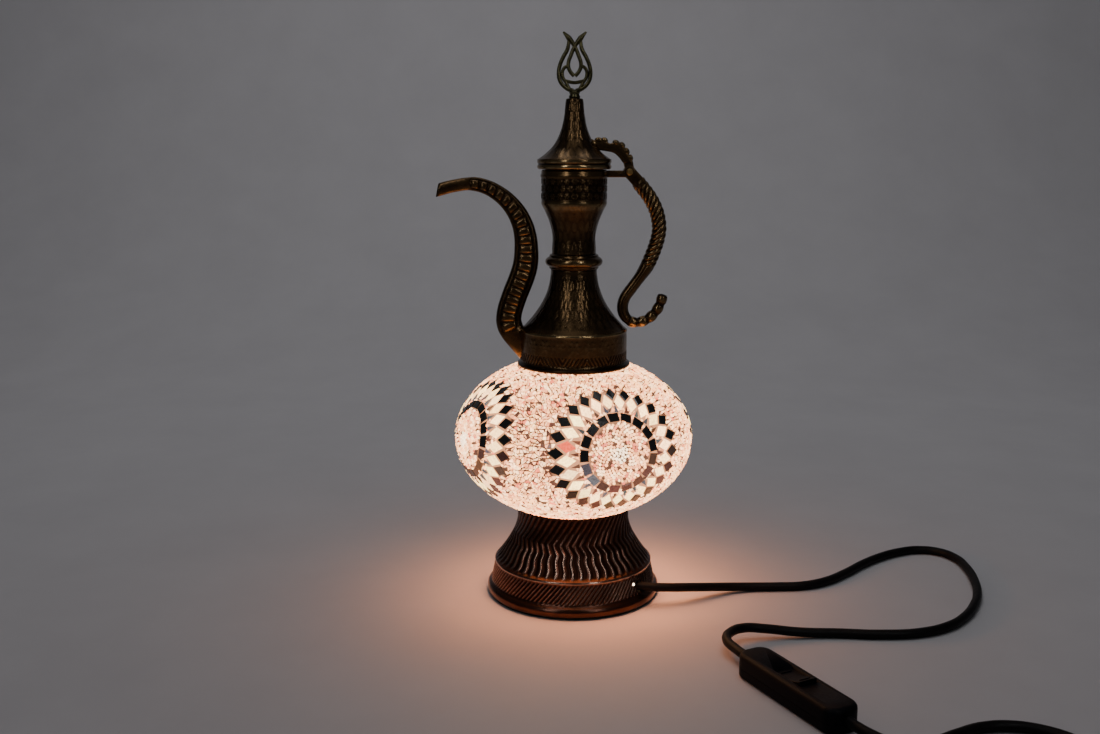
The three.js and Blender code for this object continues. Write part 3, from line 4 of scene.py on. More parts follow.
import bpy
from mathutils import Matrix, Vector


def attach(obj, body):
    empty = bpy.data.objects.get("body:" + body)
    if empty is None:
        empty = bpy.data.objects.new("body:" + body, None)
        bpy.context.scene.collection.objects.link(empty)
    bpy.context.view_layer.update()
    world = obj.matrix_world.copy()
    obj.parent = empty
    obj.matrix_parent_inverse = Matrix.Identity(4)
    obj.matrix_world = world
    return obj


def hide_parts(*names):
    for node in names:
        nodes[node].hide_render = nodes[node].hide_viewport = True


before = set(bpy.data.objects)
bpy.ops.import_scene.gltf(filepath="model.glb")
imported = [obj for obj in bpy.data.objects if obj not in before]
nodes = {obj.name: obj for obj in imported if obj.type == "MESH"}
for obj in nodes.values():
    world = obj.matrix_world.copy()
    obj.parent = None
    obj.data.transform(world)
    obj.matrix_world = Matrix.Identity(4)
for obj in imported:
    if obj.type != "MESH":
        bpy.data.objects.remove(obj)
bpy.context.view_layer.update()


# Studio: a sheet of pale paper that lies under the lamp and sweeps up behind it. Two strip lights and a soft
# box above show only in reflections, one soft box lights the paper and no metal, one lights the wall behind,
# and the camera stands at the height, distance and tilt of the photograph.
def take(*pieces):
    bpy.ops.object.select_all(action="DESELECT")
    for piece in pieces:
        piece.select_set(True)
    if pieces:
        bpy.context.view_layer.objects.active = pieces[0]


def choose(piece, test):
    bpy.context.view_layer.objects.active = piece
    bpy.ops.object.mode_set(mode="EDIT")
    bpy.ops.mesh.select_mode(type="VERT")
    bpy.ops.mesh.select_all(action="DESELECT")
    bpy.ops.object.mode_set(mode="OBJECT")
    for corner in piece.data.vertices:
        corner.select = test(corner.co)
    bpy.ops.object.mode_set(mode="EDIT")


def add_node(tree, kind, values=None, **settings):
    made = tree.nodes.new(kind)
    for name, value in settings.items():
        setattr(made, name, value)
    for name, value in (values or {}).items():
        made.inputs[name].default_value = value
    return made


def wire(tree, *links):
    for source, output, target, entry in links:
        tree.links.new(source.outputs[output], target.inputs[entry])


# Sockets of a colour mix by number: its share, its two colours and what comes out
mix_share, mix_first, mix_second, mixed = 0, 6, 7, 2


def new_group(name, entries, exits):
    group = bpy.data.node_groups.new(name, "ShaderNodeTree")
    kinds = {"colour": "NodeSocketColor", "number": "NodeSocketFloat"}
    for socket, kind in entries.items():
        group.interface.new_socket(socket, in_out="INPUT", socket_type=kinds[kind])
    for socket, kind in exits.items():
        group.interface.new_socket(socket, in_out="OUTPUT", socket_type=kinds[kind])
    return group, group.nodes.new("NodeGroupInput"), group.nodes.new("NodeGroupOutput")


def new_finish(name, **sockets):
    finish = bpy.data.materials.new(name)
    finish.use_nodes = True
    shader = finish.node_tree.nodes["Principled BSDF"]
    for socket, value in sockets.items():
        shader.inputs[socket.replace("_", " ")].default_value = value
    return finish, finish.node_tree, shader


def coat(tree, shader, surface, strength, grain):
    bump = add_node(tree, "ShaderNodeBump", {"Strength": strength, "Distance": grain})
    wire(
        tree,
        (surface, "Color", shader, "Base Color"),
        (surface, "Roughness", shader, "Roughness"),
        (surface, "Height", bump, "Height"),
        (bump, "Normal", shader, "Normal"),
    )


# Mottle: a soft unevenness of tone and gloss with a fine grain, for paper, felt, plastic and plated steel
mottle, entry, leave = new_group(
    "mottle",
    {"Dark": "colour", "Light": "colour", "Scale": "number", "Smooth": "number", "Rough": "number"},
    {"Color": "colour", "Roughness": "number", "Height": "number"},
)
spot = add_node(mottle, "ShaderNodeTexCoord")
cloud = add_node(mottle, "ShaderNodeTexNoise", {"Detail": 5.0, "Roughness": 0.62})
spread = add_node(mottle, "ShaderNodeMapRange", {"From Min": 0.3, "From Max": 0.7})
tone = add_node(mottle, "ShaderNodeMix", data_type="RGBA")
gloss = add_node(mottle, "ShaderNodeMapRange", {"From Min": 0.3, "From Max": 0.7})
wire(
    mottle,
    (spot, "Object", cloud, "Vector"),
    (entry, "Scale", cloud, "Scale"),
    (cloud, "Fac", spread, "Value"),
    (spread, "Result", tone, mix_share),
    (entry, "Dark", tone, mix_first),
    (entry, "Light", tone, mix_second),
    (cloud, "Fac", gloss, "Value"),
    (entry, "Smooth", gloss, "To Min"),
    (entry, "Rough", gloss, "To Max"),
    (tone, mixed, leave, "Color"),
    (gloss, "Result", leave, "Roughness"),
    (cloud, "Fac", leave, "Height"),
)


def add_mottle(tree, dark, light, scale, smooth_gloss, rough_gloss):
    return add_node(tree, "ShaderNodeGroup", {
        "Dark": (*dark, 1),
        "Light": (*light, 1),
        "Scale": scale,
        "Smooth": smooth_gloss,
        "Rough": rough_gloss,
    }, node_tree=mottle)


def mottled_finish(name, dark, light, scale, smooth_gloss, rough_gloss, grain, **sockets):
    finish, tree, shader = new_finish(name, **sockets)
    uneven = add_mottle(tree, dark, light, scale, smooth_gloss, rough_gloss)
    coat(tree, shader, uneven, 0.3, grain)
    return finish


paper_side, paper_middle, wall_rise, sweep_radius = 4.5, (0.1, -0.8, 0), 2.6, 0.8
take()
bpy.ops.mesh.primitive_plane_add(size=paper_side, location=paper_middle)
paper = bpy.context.object
paper.name = "paper_sweep"
bpy.ops.object.transform_apply()
choose(paper, lambda corner: corner.y > 0)
bpy.ops.mesh.extrude_region_move(TRANSFORM_OT_translate={"value": (0, 0, wall_rise)})
choose(paper, lambda corner: corner.y > 0 and corner.z < wall_rise / 2)
bpy.ops.mesh.bevel(offset=sweep_radius, segments=24, affect="EDGES")
bpy.ops.object.mode_set(mode="OBJECT")
bpy.ops.object.shade_smooth()
paper.data.materials.append(mottled_finish(
    "pale paper", (0.60, 0.585, 0.61), (0.64, 0.625, 0.65), 9.0, 0.78, 0.88, 0.0001,
    Specular_IOR_Level=0.1))

air = bpy.data.worlds.new("studio air")
air.use_nodes = True
air.node_tree.nodes["Background"].inputs["Color"].default_value = (0.93, 0.95, 1.0, 1)
air.node_tree.nodes["Background"].inputs["Strength"].default_value = 0.05
bpy.context.scene.world = air

for name, stand, target, power, size, on_paper, on_metal in [
    ("strip box left", (-0.556, -0.89, 0.95), (0, 0, 0.24), 2.5, (0.09, 1.35), False, True),
    ("strip box right", (0.54, -0.9, 0.95), (0, 0, 0.24), 2.3, (0.08, 1.35), False, True),
    ("soft box above", (0, 0, 1.9), (0, 0, 0), 1.2, (1.4, 1.4), False, True),
    ("soft box over the floor", (0, -0.2, 1.9), (0, -0.1, 0), 4.4, (1.4, 1.4), True, False),
    ("soft box behind", (-0.1, 0.5, 1.7), (-0.1, 1.45, 0.7), 3.9, (1.2, 0.3), True, True),
]:
    bpy.ops.object.light_add(type="AREA", location=stand)
    soft_box = bpy.context.object
    soft_box.name = name
    soft_box.data.shape = "RECTANGLE"
    soft_box.data.energy = power
    soft_box.data.size, soft_box.data.size_y = size
    soft_box.visible_diffuse = on_paper
    soft_box.visible_glossy = on_metal
    soft_box.rotation_euler = (Vector(target) - soft_box.location).to_track_quat("-Z", "Y").to_euler()

camera_spot, camera_tilt = (-0.0161, -0.765, 0.301), math.radians(79.5)
bpy.ops.object.camera_add(location=camera_spot, rotation=(camera_tilt, 0, 0))
camera = bpy.context.object
camera.data.sensor_width = 36
camera.data.lens = 37.15
camera.data.clip_start = 0.01
bpy.context.scene.camera = camera


# Inside of the base: a felt pad and a plate that close it from below, a bridge plate, and the threaded
# nipple with its nut that carry the lampholder. Pressed and turned steel, zinc plated; the pad is cut from
# green felt.
def dress(finish, *names):
    for name in names:
        nodes[name].data.materials.clear()
        nodes[name].data.materials.append(finish)


felt = mottled_finish("green felt", (0.010, 0.022, 0.014), (0.030, 0.052, 0.036), 900.0, 0.9, 1.0, 0.0006)
zinc = mottled_finish(
    "zinc plate", (0.42, 0.42, 0.40), (0.60, 0.60, 0.58), 140.0, 0.28, 0.45, 0.0002, Metallic=1.0)
dress(felt, "felt_pad")
dress(zinc, "bottom_plate", "bridge_plate", "nipple", "nipple_nut")


# Base: a bell of thin copper with a rolled foot, a slanted rope band, a bright ledge and petals that run up
# into zigzag flutes. It is spun and chased in one piece, darkened, and rubbed bright on its ridges.
millimetre = 0.001


def ramp(low, high, value):
    return min(max((value - low) / (high - low), 0), 1)


def smooth(low, high, value):
    share = ramp(low, high, value)
    return share * share * (3 - 2 * share)


def between(low, high, edge, value):
    return smooth(low - edge, low + edge, value) * (1 - smooth(high - edge, high + edge, value))


def levels(low, high, step):
    count = round((high - low) / step)
    return [low + (high - low) * k / count for k in range(count + 1)]


def round_lamp(reach, angle, height):
    return reach * math.cos(angle), reach * math.sin(angle), height


def close_seams():
    bpy.ops.object.mode_set(mode="EDIT")
    bpy.ops.mesh.select_all(action="SELECT")
    bpy.ops.mesh.remove_doubles(threshold=0.02 * millimetre)
    bpy.ops.mesh.normals_make_consistent(inside=False)
    bpy.ops.object.mode_set(mode="OBJECT")


# A sheet of metal worked into shape: place gives a spot in millimetres for each share round and along it,
# and how far the chasing stands out there, from 0 in the hollows to 1 on the ridges.
def worked_sheet(name, columns, rows, place):
    take()
    bpy.ops.mesh.primitive_grid_add(x_subdivisions=columns, y_subdivisions=rows, size=1, location=(0, 0, 0))
    sheet = bpy.context.object
    sheet.name = name
    relief = sheet.data.attributes.new("relief", "FLOAT", "POINT")
    spots = []
    tones = []
    for corner in sheet.data.vertices:
        spot, tone = place(corner.co.x + 0.5, corner.co.y + 0.5)
        spots.extend(size * millimetre for size in spot)
        tones.append(tone)
    sheet.data.vertices.foreach_set("co", spots)
    relief.data.foreach_set("value", tones)
    close_seams()
    bpy.ops.object.shade_smooth()
    return sheet


# A turned piece: its outline, in levels above its foot, runs up the outside and down the inside. Chase gives
# the stand of the relief in millimetres, its tone and how far it leans round the axis, in radians.
def turned_shell(name, columns, foot, outside, inside, chase):
    outline = outside + inside
    rings = len(outline)

    def place(around, along):
        ring = round(along * rings) % rings
        radius, level = outline[ring]
        stand, tone, lean = chase(around, level) if ring < len(outside) else (0, 0.2, 0)
        return round_lamp(radius + stand, math.tau * around + lean, foot + level), tone

    return worked_sheet(name, columns, rings, place)


def settle(piece, body, finish, slot, *stands_for):
    piece.data.materials.append(finish)
    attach(piece, body)
    if stands_for:
        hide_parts(*stands_for)


# Aged metal: dark in the hollows, rubbed bright on the ridges of the chasing, with cloudy tarnish over both
aged_metal, entry, leave = new_group(
    "aged metal",
    {"Hollow": "colour", "Body": "colour", "Ridge": "colour", "Tarnish": "number"},
    {"Color": "colour", "Roughness": "number", "Height": "number"},
)
spot = add_node(aged_metal, "ShaderNodeTexCoord")
chasing = add_node(aged_metal, "ShaderNodeAttribute", attribute_name="relief")
speck = add_node(aged_metal, "ShaderNodeTexNoise", {"Scale": 520.0, "Detail": 4.0, "Roughness": 0.6})
cloud = add_node(aged_metal, "ShaderNodeTexNoise", {"Scale": 70.0, "Detail": 4.0})
uneven = add_node(aged_metal, "ShaderNodeMath", {1: 0.5}, operation="SUBTRACT")
worn = add_node(aged_metal, "ShaderNodeMath", {1: 0.55}, operation="MULTIPLY_ADD")
low = add_node(
    aged_metal, "ShaderNodeMapRange", {"From Min": 0.08, "From Max": 0.5}, interpolation_type="SMOOTHSTEP")
high = add_node(
    aged_metal, "ShaderNodeMapRange", {"From Min": 0.5, "From Max": 1.0}, interpolation_type="SMOOTHSTEP")
flank, crest, dark = (add_node(aged_metal, "ShaderNodeMix", data_type="RGBA") for layer in range(3))
patch = add_node(aged_metal, "ShaderNodeMapRange", {"From Min": 0.35, "From Max": 0.62})
dull = add_node(aged_metal, "ShaderNodeMath", operation="MULTIPLY")
gloss = add_node(aged_metal, "ShaderNodeMapRange", {"To Min": 0.31, "To Max": 0.14})
wire(
    aged_metal,
    (spot, "Object", speck, "Vector"),
    (spot, "Object", cloud, "Vector"),
    (speck, "Fac", uneven, 0),
    (uneven, "Value", worn, 0),
    (chasing, "Fac", worn, 2),
    (worn, "Value", low, "Value"),
    (worn, "Value", high, "Value"),
    (low, "Result", flank, mix_share),
    (entry, "Hollow", flank, mix_first),
    (entry, "Body", flank, mix_second),
    (high, "Result", crest, mix_share),
    (flank, mixed, crest, mix_first),
    (entry, "Ridge", crest, mix_second),
    (cloud, "Fac", patch, "Value"),
    (patch, "Result", dull, 0),
    (entry, "Tarnish", dull, 1),
    (dull, "Value", dark, mix_share),
    (crest, mixed, dark, mix_first),
    (entry, "Hollow", dark, mix_second),
    (worn, "Value", gloss, "Value"),
    (dark, mixed, leave, "Color"),
    (gloss, "Result", leave, "Roughness"),
    (speck, "Fac", leave, "Height"),
)


def aged_finish(name, hollow, body, ridge, tarnish):
    finish, tree, shader = new_finish(name, Metallic=1.0)
    values = {"Hollow": (*hollow, 1), "Body": (*body, 1), "Ridge": (*ridge, 1), "Tarnish": tarnish}
    patina = add_node(tree, "ShaderNodeGroup", values, node_tree=aged_metal)
    coat(tree, shader, patina, 0.35, 0.0003)
    return finish


flutes, ribs = 56, 112
foot_radius, band_taper, base_wall = 57, 2.7, 1.6
foot_top, band_top, petal_foot, petal_top = 9, 22, 25, 62
ledge_height, ledge_radius, bell_rise, collar_radius = 24, 54, 30, 38.5
zigzag_turn, zigzag_bend = 38.5, 44.5


def base_radius(height):
    rise = ramp(ledge_height, ledge_height + bell_rise, height)
    return collar_radius + (ledge_radius - collar_radius) * (1 - rise) ** 1.6


def base_chase(around, height):
    rib = math.cos(math.pi * ribs * around) ** 2
    flute = math.cos(math.pi * flutes * around) ** 2
    rope = between(foot_top + 0.6, band_top - 0.4, 0.7, height)
    petal = between(petal_foot + 0.4, petal_top - 0.4, 0.9, height)
    upper = smooth(37, 44, height)
    ridge = flute ** (2.6 - 1.1 * upper)
    pitch = math.tau / flutes
    lean = 1.7 * pitch * ramp(foot_top, band_top, height)
    lean += 0.14 * pitch * math.sin(math.tau * ramp(petal_foot, zigzag_turn, height))
    lean -= 0.75 * pitch * ramp(zigzag_turn, zigzag_bend, height)
    lean += 2.4 * pitch * ramp(zigzag_bend, petal_top, height)
    stand = rope * (rib - 0.7) + petal * (1.1 - 0.5 * upper) * (ridge - 0.7)
    plain = 0.36 + 0.55 * between(22.6, 24.2, 0.4, height) + 0.08 * between(2, 7.6, 0.6, height)
    tone = rope * (0.02 + 0.76 * rib) + petal * (0.03 + (0.9 - 0.3 * upper) * ridge)
    tone += (1 - rope - petal) * plain
    return stand, tone, lean


base_outside = [
    (58.0, 4.5), (58.2, 1.6), (59.4, 1.5), (60.0, 2.3), (60.0, 4.6), (59.7, 6.3), (58.6, 7.6), (57.4, 8.3),
]
for height in levels(foot_top, band_top, 0.8):
    base_outside.append((foot_radius - band_taper * ramp(foot_top, band_top, height), height))
base_outside += [(54.8, 22.7), (54.9, 23.6), (54.2, 24.4)]
base_outside += [(base_radius(height), height) for height in levels(petal_foot, 62.5, 0.72)]
base_outside += [(38.3, 63.2), (37.4, 63.2)]
base_inside = [(base_radius(height) - base_wall, height) for height in (61, 54, 47, 41, 36, 31, 27)]
base_inside += [(52.4, 21), (54.6, 10), (56.8, 6)]
base_bell = turned_shell("base_bell", 8 * flutes, 0, base_outside, base_inside, base_chase)


def cut_out(piece, tool):
    bpy.context.view_layer.objects.active = piece
    bpy.ops.object.modifier_add(type="BOOLEAN")
    cut = piece.modifiers[-1]
    cut.object = tool
    cut.operation = "DIFFERENCE"
    bpy.ops.object.modifier_apply(modifier=cut.name)
    bpy.data.objects.remove(tool)


hole_angle, hole_reach, hole_height, hole_radius, drill_depth = math.radians(-36.2), 56, 13.6, 4.6, 20
take()
bpy.ops.mesh.primitive_cylinder_add(
    vertices=32, radius=hole_radius * millimetre, depth=drill_depth * millimetre,
    location=[size * millimetre for size in round_lamp(hole_reach, hole_angle, hole_height)],
    rotation=(0, math.pi / 2, hole_angle))
cut_out(base_bell, bpy.context.object)

copper = aged_finish("rubbed copper", (0.018, 0.008, 0.0055), (0.12, 0.054, 0.037), (0.58, 0.41, 0.33), 0.4)
settle(base_bell, "lamp", copper, "copper", "base_shell")


# Lampholder, bulb and harp: a black moulded lampholder with a brass contact, a lit bulb with a nickel cap,
# and the bent steel rod whose stud and nut hold the ewer down on the globe through its spider.
moulding = mottled_finish(
    "black moulding", (0.012, 0.012, 0.013), (0.030, 0.030, 0.032), 300.0, 0.35, 0.5, 0.0002)
turned_brass = mottled_finish(
    "turned brass", (0.34, 0.22, 0.08), (0.60, 0.42, 0.17), 260.0, 0.25, 0.42, 0.0002, Metallic=1.0)
nickel = mottled_finish(
    "nickel cap", (0.52, 0.50, 0.46), (0.70, 0.68, 0.62), 220.0, 0.2, 0.34, 0.0002, Metallic=1.0)
dress(moulding, "lampholder_cap", "lampholder_body")
dress(turned_brass, "centre_contact", "hinge_pin")
dress(nickel, "bulb_cap")
dress(zinc, "harp", "harp_stud", "stud_nut", "ewer_spider")


def lit_finish(name, dim, bright, scale, strength):
    finish, tree, shader = new_finish(name, Emission_Strength=strength)
    glow = add_mottle(tree, dim, bright, scale, 0.3, 0.5)
    wire(
        tree,
        (glow, "Color", shader, "Base Color"),
        (glow, "Color", shader, "Emission Color"),
        (glow, "Roughness", shader, "Roughness"),
    )
    return finish


bulb_glow = lit_finish("lit bulb", (1.0, 0.54, 0.26), (1.0, 0.66, 0.38), 40.0, 8.0)
frosted = lit_finish("frosted glass", (0.90, 0.38, 0.16), (1.0, 0.48, 0.22), 60.0, 2.0)
dress(bulb_glow, "bulb_glass")
dress(frosted, "globe_glass")


# The light of the globe is set by one disc under it, so its own pieces don't light the paper a second time
def keep_off_paper(piece):
    piece.visible_shadow = False
    piece.visible_diffuse = False


keep_off_paper(nodes["bulb_glass"])
keep_off_paper(nodes["globe_glass"])
bpy.ops.object.light_add(type="AREA", location=(0.005, 0, 0.066))
underglow = bpy.context.object
underglow.name = "glow under the globe"
underglow.data.shape = "DISK"
underglow.data.size = 0.124
underglow.data.energy = 0.47
underglow.data.color = (1.0, 0.34, 0.13)
underglow.visible_glossy = False

# Some of the bulb's light leaks out beside the lead and shows as a bright spot at the rim of the hole
leak_angle, leak_reach, leak_height, leak_radius = math.radians(-43.6), 55.4, 17, 0.95
take()
bpy.ops.mesh.primitive_uv_sphere_add(
    segments=16, ring_count=10, radius=leak_radius * millimetre,
    location=[size * millimetre for size in round_lamp(leak_reach, leak_angle, leak_height)])
leak = bpy.context.object
leak.name = "light_beside_lead"
bpy.ops.object.transform_apply()
bpy.ops.object.shade_smooth()
leak.visible_diffuse = False
settle(leak, "lamp", lit_finish("leaking light", (1.0, 0.72, 0.50), (1.0, 0.84, 0.66), 300.0, 6.0), "bulb")


# Mosaic: a skin of broken glass bedded in grout over the glass globe, with four rosettes of cut tiles. Each
# rosette has a disc of beads, a ring of dark squares, and rings of cream and black diamonds set tip to tip.
globe_wide, globe_tall, globe_middle, globe_mouth = 81, 55, 111.99, 34
rosette_turns = [math.radians(turn) for turn in (21, 111, 201, 295)]
rosette_rise = 5
rosette_out = globe_wide * math.sqrt(1 - (rosette_rise / globe_tall) ** 2)
rosette_slope = math.atan2(rosette_rise / globe_tall ** 2, rosette_out / globe_wide ** 2)
slope_out, slope_up = math.cos(rosette_slope), math.sin(rosette_slope)
rays = 24
random.seed(24)


def outward(spot):
    wide, tall = globe_wide ** 2, globe_tall ** 2
    return Vector((spot.x / wide, spot.y / wide, spot.z / tall)).normalized()


def turn_about_lamp(spot, angle):
    return Vector((spot.x * math.cos(angle) - spot.y * math.sin(angle),
                   spot.x * math.sin(angle) + spot.y * math.cos(angle), spot.z))


def in_place(spot):
    return spot.x * millimetre, spot.y * millimetre, (spot.z + globe_middle) * millimetre


def rosette_spot(turn, right, up, lift):
    flat = Vector((rosette_out - up * slope_up, right, rosette_rise + up * slope_out))
    reach = math.hypot(flat.x / globe_wide, flat.y / globe_wide, flat.z / globe_tall)
    spot = flat / reach
    return in_place(turn_about_lamp(spot + lift * outward(spot), turn - math.pi / 2))


# Where a spot of the globe lies on the flat of each rosette that faces it
def rosette_places(spot):
    least_facing = 20
    places = []
    for turn in rosette_turns:
        seen = turn_about_lamp(spot, math.pi / 2 - turn)
        facing = seen.x * slope_out + seen.z * slope_up
        if facing < least_facing:
            continue
        scale = (rosette_out * slope_out + rosette_rise * slope_up) / facing
        out, right, rise = seen.x * scale, seen.y * scale, seen.z * scale
        places.append((right, (rise - rosette_rise) * slope_out - (out - rosette_out) * slope_up))
    return places


def add_piece(name, data):
    piece = bpy.data.objects.new(name, data)
    bpy.context.collection.objects.link(piece)
    return piece


def set_in_grout(name, chips):
    spots, faces, tints = [], [], []
    for rings, tint in chips:
        first, count = len(spots), len(rings[0])
        for ring in rings:
            spots.extend(ring)
        tints.extend((*tint, 1) * count * len(rings))
        faces.append([first + k for k in reversed(range(count))])
        for level in range(len(rings) - 1):
            low = first + level * count
            for k in range(count):
                after = (k + 1) % count
                faces.append([low + k, low + after, low + count + after, low + count + k])
        faces.append([first + (len(rings) - 1) * count + k for k in range(count)])
    mesh = bpy.data.meshes.new(name)
    mesh.from_pydata(spots, [], faces)
    mesh.color_attributes.new("tint", "FLOAT_COLOR", "POINT").data.foreach_set("color", tints)
    piece = add_piece(name, mesh)
    keep_off_paper(piece)
    return piece


def varied(tint, swing):
    level = 1 + random.uniform(-swing, swing)
    return tuple(min(max(part * level * (1 + random.uniform(-swing, swing) * 0.4), 0), 1.2) for part in tint)


grout_end = 0.97
grout_tilts = levels(-grout_end, grout_end, 0.05)
mouth_tilt = math.acos(globe_mouth / globe_wide)
thin_from, thin_to, thin_edge = 21, 50, 2.5


def grout_place(around, along):
    rings = len(grout_tilts)
    row = round(along * 2 * rings) % (2 * rings)
    share, sink = (grout_tilts[row], 0.2) if row < rings else (grout_tilts[2 * rings - 1 - row], 2)
    tilt = share * mouth_tilt / grout_end
    rise = (globe_tall - sink) * math.sin(tilt)
    spot = Vector(round_lamp((globe_wide - sink) * math.cos(tilt), math.tau * around, rise))
    reaches = [math.hypot(*place) for place in rosette_places(spot)]
    thin = max((between(thin_from, thin_to, thin_edge, reach) for reach in reaches), default=0)
    return (spot.x, spot.y, globe_middle + rise), thin


grout_skin = worked_sheet("grout_skin", 160, 2 * len(grout_tilts), grout_place)
keep_off_paper(grout_skin)

# Each tile of a rosette has its kind, its ray in degrees, how far out its middle lies, and half its length
# and half its width in millimetres
cream, salmon, pitch_black = (1.0, 0.62, 0.25), (0.44, 0.055, 0.026), (0.001, 0.001, 0.001)
smoke_brown, slate = (0.050, 0.019, 0.011), (0.034, 0.032, 0.033)
square_count = 17
salmon_ray = 360 * 11.25 / rays
grey_from, grey_to = 180, 222
tile_kinds = []
for k in range(rays):
    tile_kinds.append(("cream", 360 * (k + 0.25) / rays, 38.5, 7.6, 4.1))
    tile_kinds.append(("black", 360 * (k + 0.75) / rays, 47.2, 7.4, 4.5))
    tile_kinds.append(("sliver", 360 * (k + 0.75) / rays, 32.2, 3.2, 1.9))
for k in range(square_count):
    tile_kinds.append(("square", 360 * (k + 0.4) / square_count, 25, 3.15, 4.2))


def tile_corners(kind, half_length, half_width):
    if kind == "square":
        inner = half_width * 0.86
        near = [(-half_length, -inner), (half_length, -half_width)]
        return near + [(half_length, half_width), (-half_length, inner)]
    if kind == "sliver":
        return [(-half_length, -half_width * 0.8), (half_length, 0), (-half_length, half_width * 0.8)]
    middle = -half_length * 0.06
    return [(-half_length, 0), (middle, -half_width), (half_length, 0), (middle, half_width)]


def tile_tint(kind, ray, front):
    lower = smooth(0.2, 0.9, -math.sin(math.radians(ray - 20)))
    if kind == "cream" and front and abs(ray - salmon_ray) < 4:
        return salmon
    if kind == "cream":
        return varied(cream, 0.2)
    if kind == "sliver":
        return varied(slate if random.random() < 0.5 else smoke_brown, 0.35)
    if kind == "square" and grey_from < ray < grey_to:
        return varied(slate, 0.3)
    amber = varied(smoke_brown, 0.4)
    return tuple(a + (b - a) * lower * 0.9 for a, b in zip(pitch_black, amber))


disc_edge, tiles_edge = 21.3, 57


def inside_tile(right, up):
    reach = math.hypot(right, up)
    if reach < disc_edge:
        return True
    if reach >= tiles_edge:
        return False
    for kind, ray, middle, half_length, half_width in tile_kinds:
        angle = math.radians(ray)
        along = right * math.cos(angle) + up * math.sin(angle) - middle
        across = up * math.cos(angle) - right * math.sin(angle)
        if kind == "square":
            if abs(along) < half_length + 0.4 and abs(across) < half_width + 0.3:
                return True
        elif abs(along) / half_length + abs(across) / half_width < 1.25:
            return True
    return False


tiles = []
for turn in rosette_turns:
    for kind, ray, middle, half_length, half_width in tile_kinds:
        angle = math.radians(ray)
        rings = []
        for inset, lift in ((0, -1.6), (0, 0.35), (0.16, 0.75)):
            ring = []
            for along, across in tile_corners(kind, half_length, half_width):
                reach, side = middle + along * (1 - inset), across * (1 - inset)
                right = reach * math.cos(angle) - side * math.sin(angle)
                up = reach * math.sin(angle) + side * math.cos(angle)
                ring.append(rosette_spot(turn, right, up, lift))
            rings.append(ring)
        tiles.append((rings, tile_tint(kind, ray, turn == rosette_turns[0])))
cut_tiles = set_in_grout("cut_tiles", tiles)

bead_colours = [
    (0.92, 0.40, 0.17), (0.70, 0.26, 0.11), (1.0, 0.58, 0.30), (0.50, 0.11, 0.06), (0.05, 0.02, 0.012),
]
bead_mix = [38, 24, 20, 8, 10]
pale_bead, pale_reach = (1.0, 0.70, 0.42), 5
bead_sides, bead_count, disc_radius = 7, 300, 20.6
beads = []
for turn in rosette_turns:
    for k in range(bead_count):
        reach = disc_radius * math.sqrt((k + 0.5) / bead_count)
        angle = k * math.pi * (3 - math.sqrt(5))
        right, up = reach * math.cos(angle), reach * math.sin(angle)
        size = random.uniform(0.85, 1.2)
        rings = []
        for width, lift in ((0.9, -0.8), (1, 0.3), (0.75, 0.85), (0.3, 1.15)):
            ring = []
            for side in range(bead_sides):
                bend = math.tau * side / bead_sides
                ring.append(rosette_spot(turn, right + size * width * math.cos(bend),
                                         up + size * width * math.sin(bend), lift))
            rings.append(ring)
        tint = random.choices(bead_colours, bead_mix)[0] if reach > pale_reach else pale_bead
        beads.append((rings, varied(tint, 0.12)))
bead_discs = set_in_grout("bead_discs", beads)

chip_colours = [
    (0.95, 0.40, 0.16), (0.70, 0.25, 0.105), (1.0, 0.54, 0.27), (0.60, 0.12, 0.06), (0.05, 0.02, 0.012),
]
chip_mix = [37, 20, 31, 4, 8]
chip_pitch, crack, rim_gap = 2.3, 0.54, 1.2
widest_tilt = math.acos((globe_mouth + rim_gap) / globe_wide)
row_marks = [-widest_tilt]
while row_marks[-1] < widest_tilt:
    mark = row_marks[-1]
    step = chip_pitch / math.hypot(globe_wide * math.sin(mark), globe_tall * math.cos(mark))
    row_marks.append(min(mark + step, widest_tilt))
row_waves = [[random.uniform(0, math.tau) for wave in range(3)] for mark in row_marks]


# The line between two rows of chips wanders, so that the rows are lost in the broken field
def row_line(row, angle):
    if row in (0, len(row_marks) - 1):
        return row_marks[row]
    waves = zip((0.24, 0.22, 0.18), (31, 67, 109), row_waves[row])
    sway = sum(swing * math.sin(count * angle + phase) for swing, count, phase in waves)
    return row_marks[row] + sway * (row_marks[row + 1] - row_marks[row])


def on_globe(angle, tilt):
    return Vector(round_lamp(globe_wide * math.cos(tilt), angle, globe_tall * math.sin(tilt)))


def add_chip(corners):
    middle = sum(corners, Vector()) / len(corners)
    if any(inside_tile(*place) for place in rosette_places(middle)):
        return
    away = outward(middle)
    tint = random.choices(chip_colours, chip_mix)[0]
    lift = random.uniform(0.3, 0.8)
    slope = Vector([random.uniform(-0.2, 0.2) for axis in range(3)])
    rings = []
    for inset, top in ((crack, False), (crack + 0.08, True)):
        ring = []
        for corner in corners:
            inward = middle - corner
            spot = corner + inward * min(inset * random.uniform(0.6, 1.4) / inward.length, 0.6)
            spot += (lift + slope.dot(spot - middle) if top else -0.8) * away
            ring.append(in_place(spot))
        rings.append(ring)
    chips.append((rings, varied(tint, 0.16)))


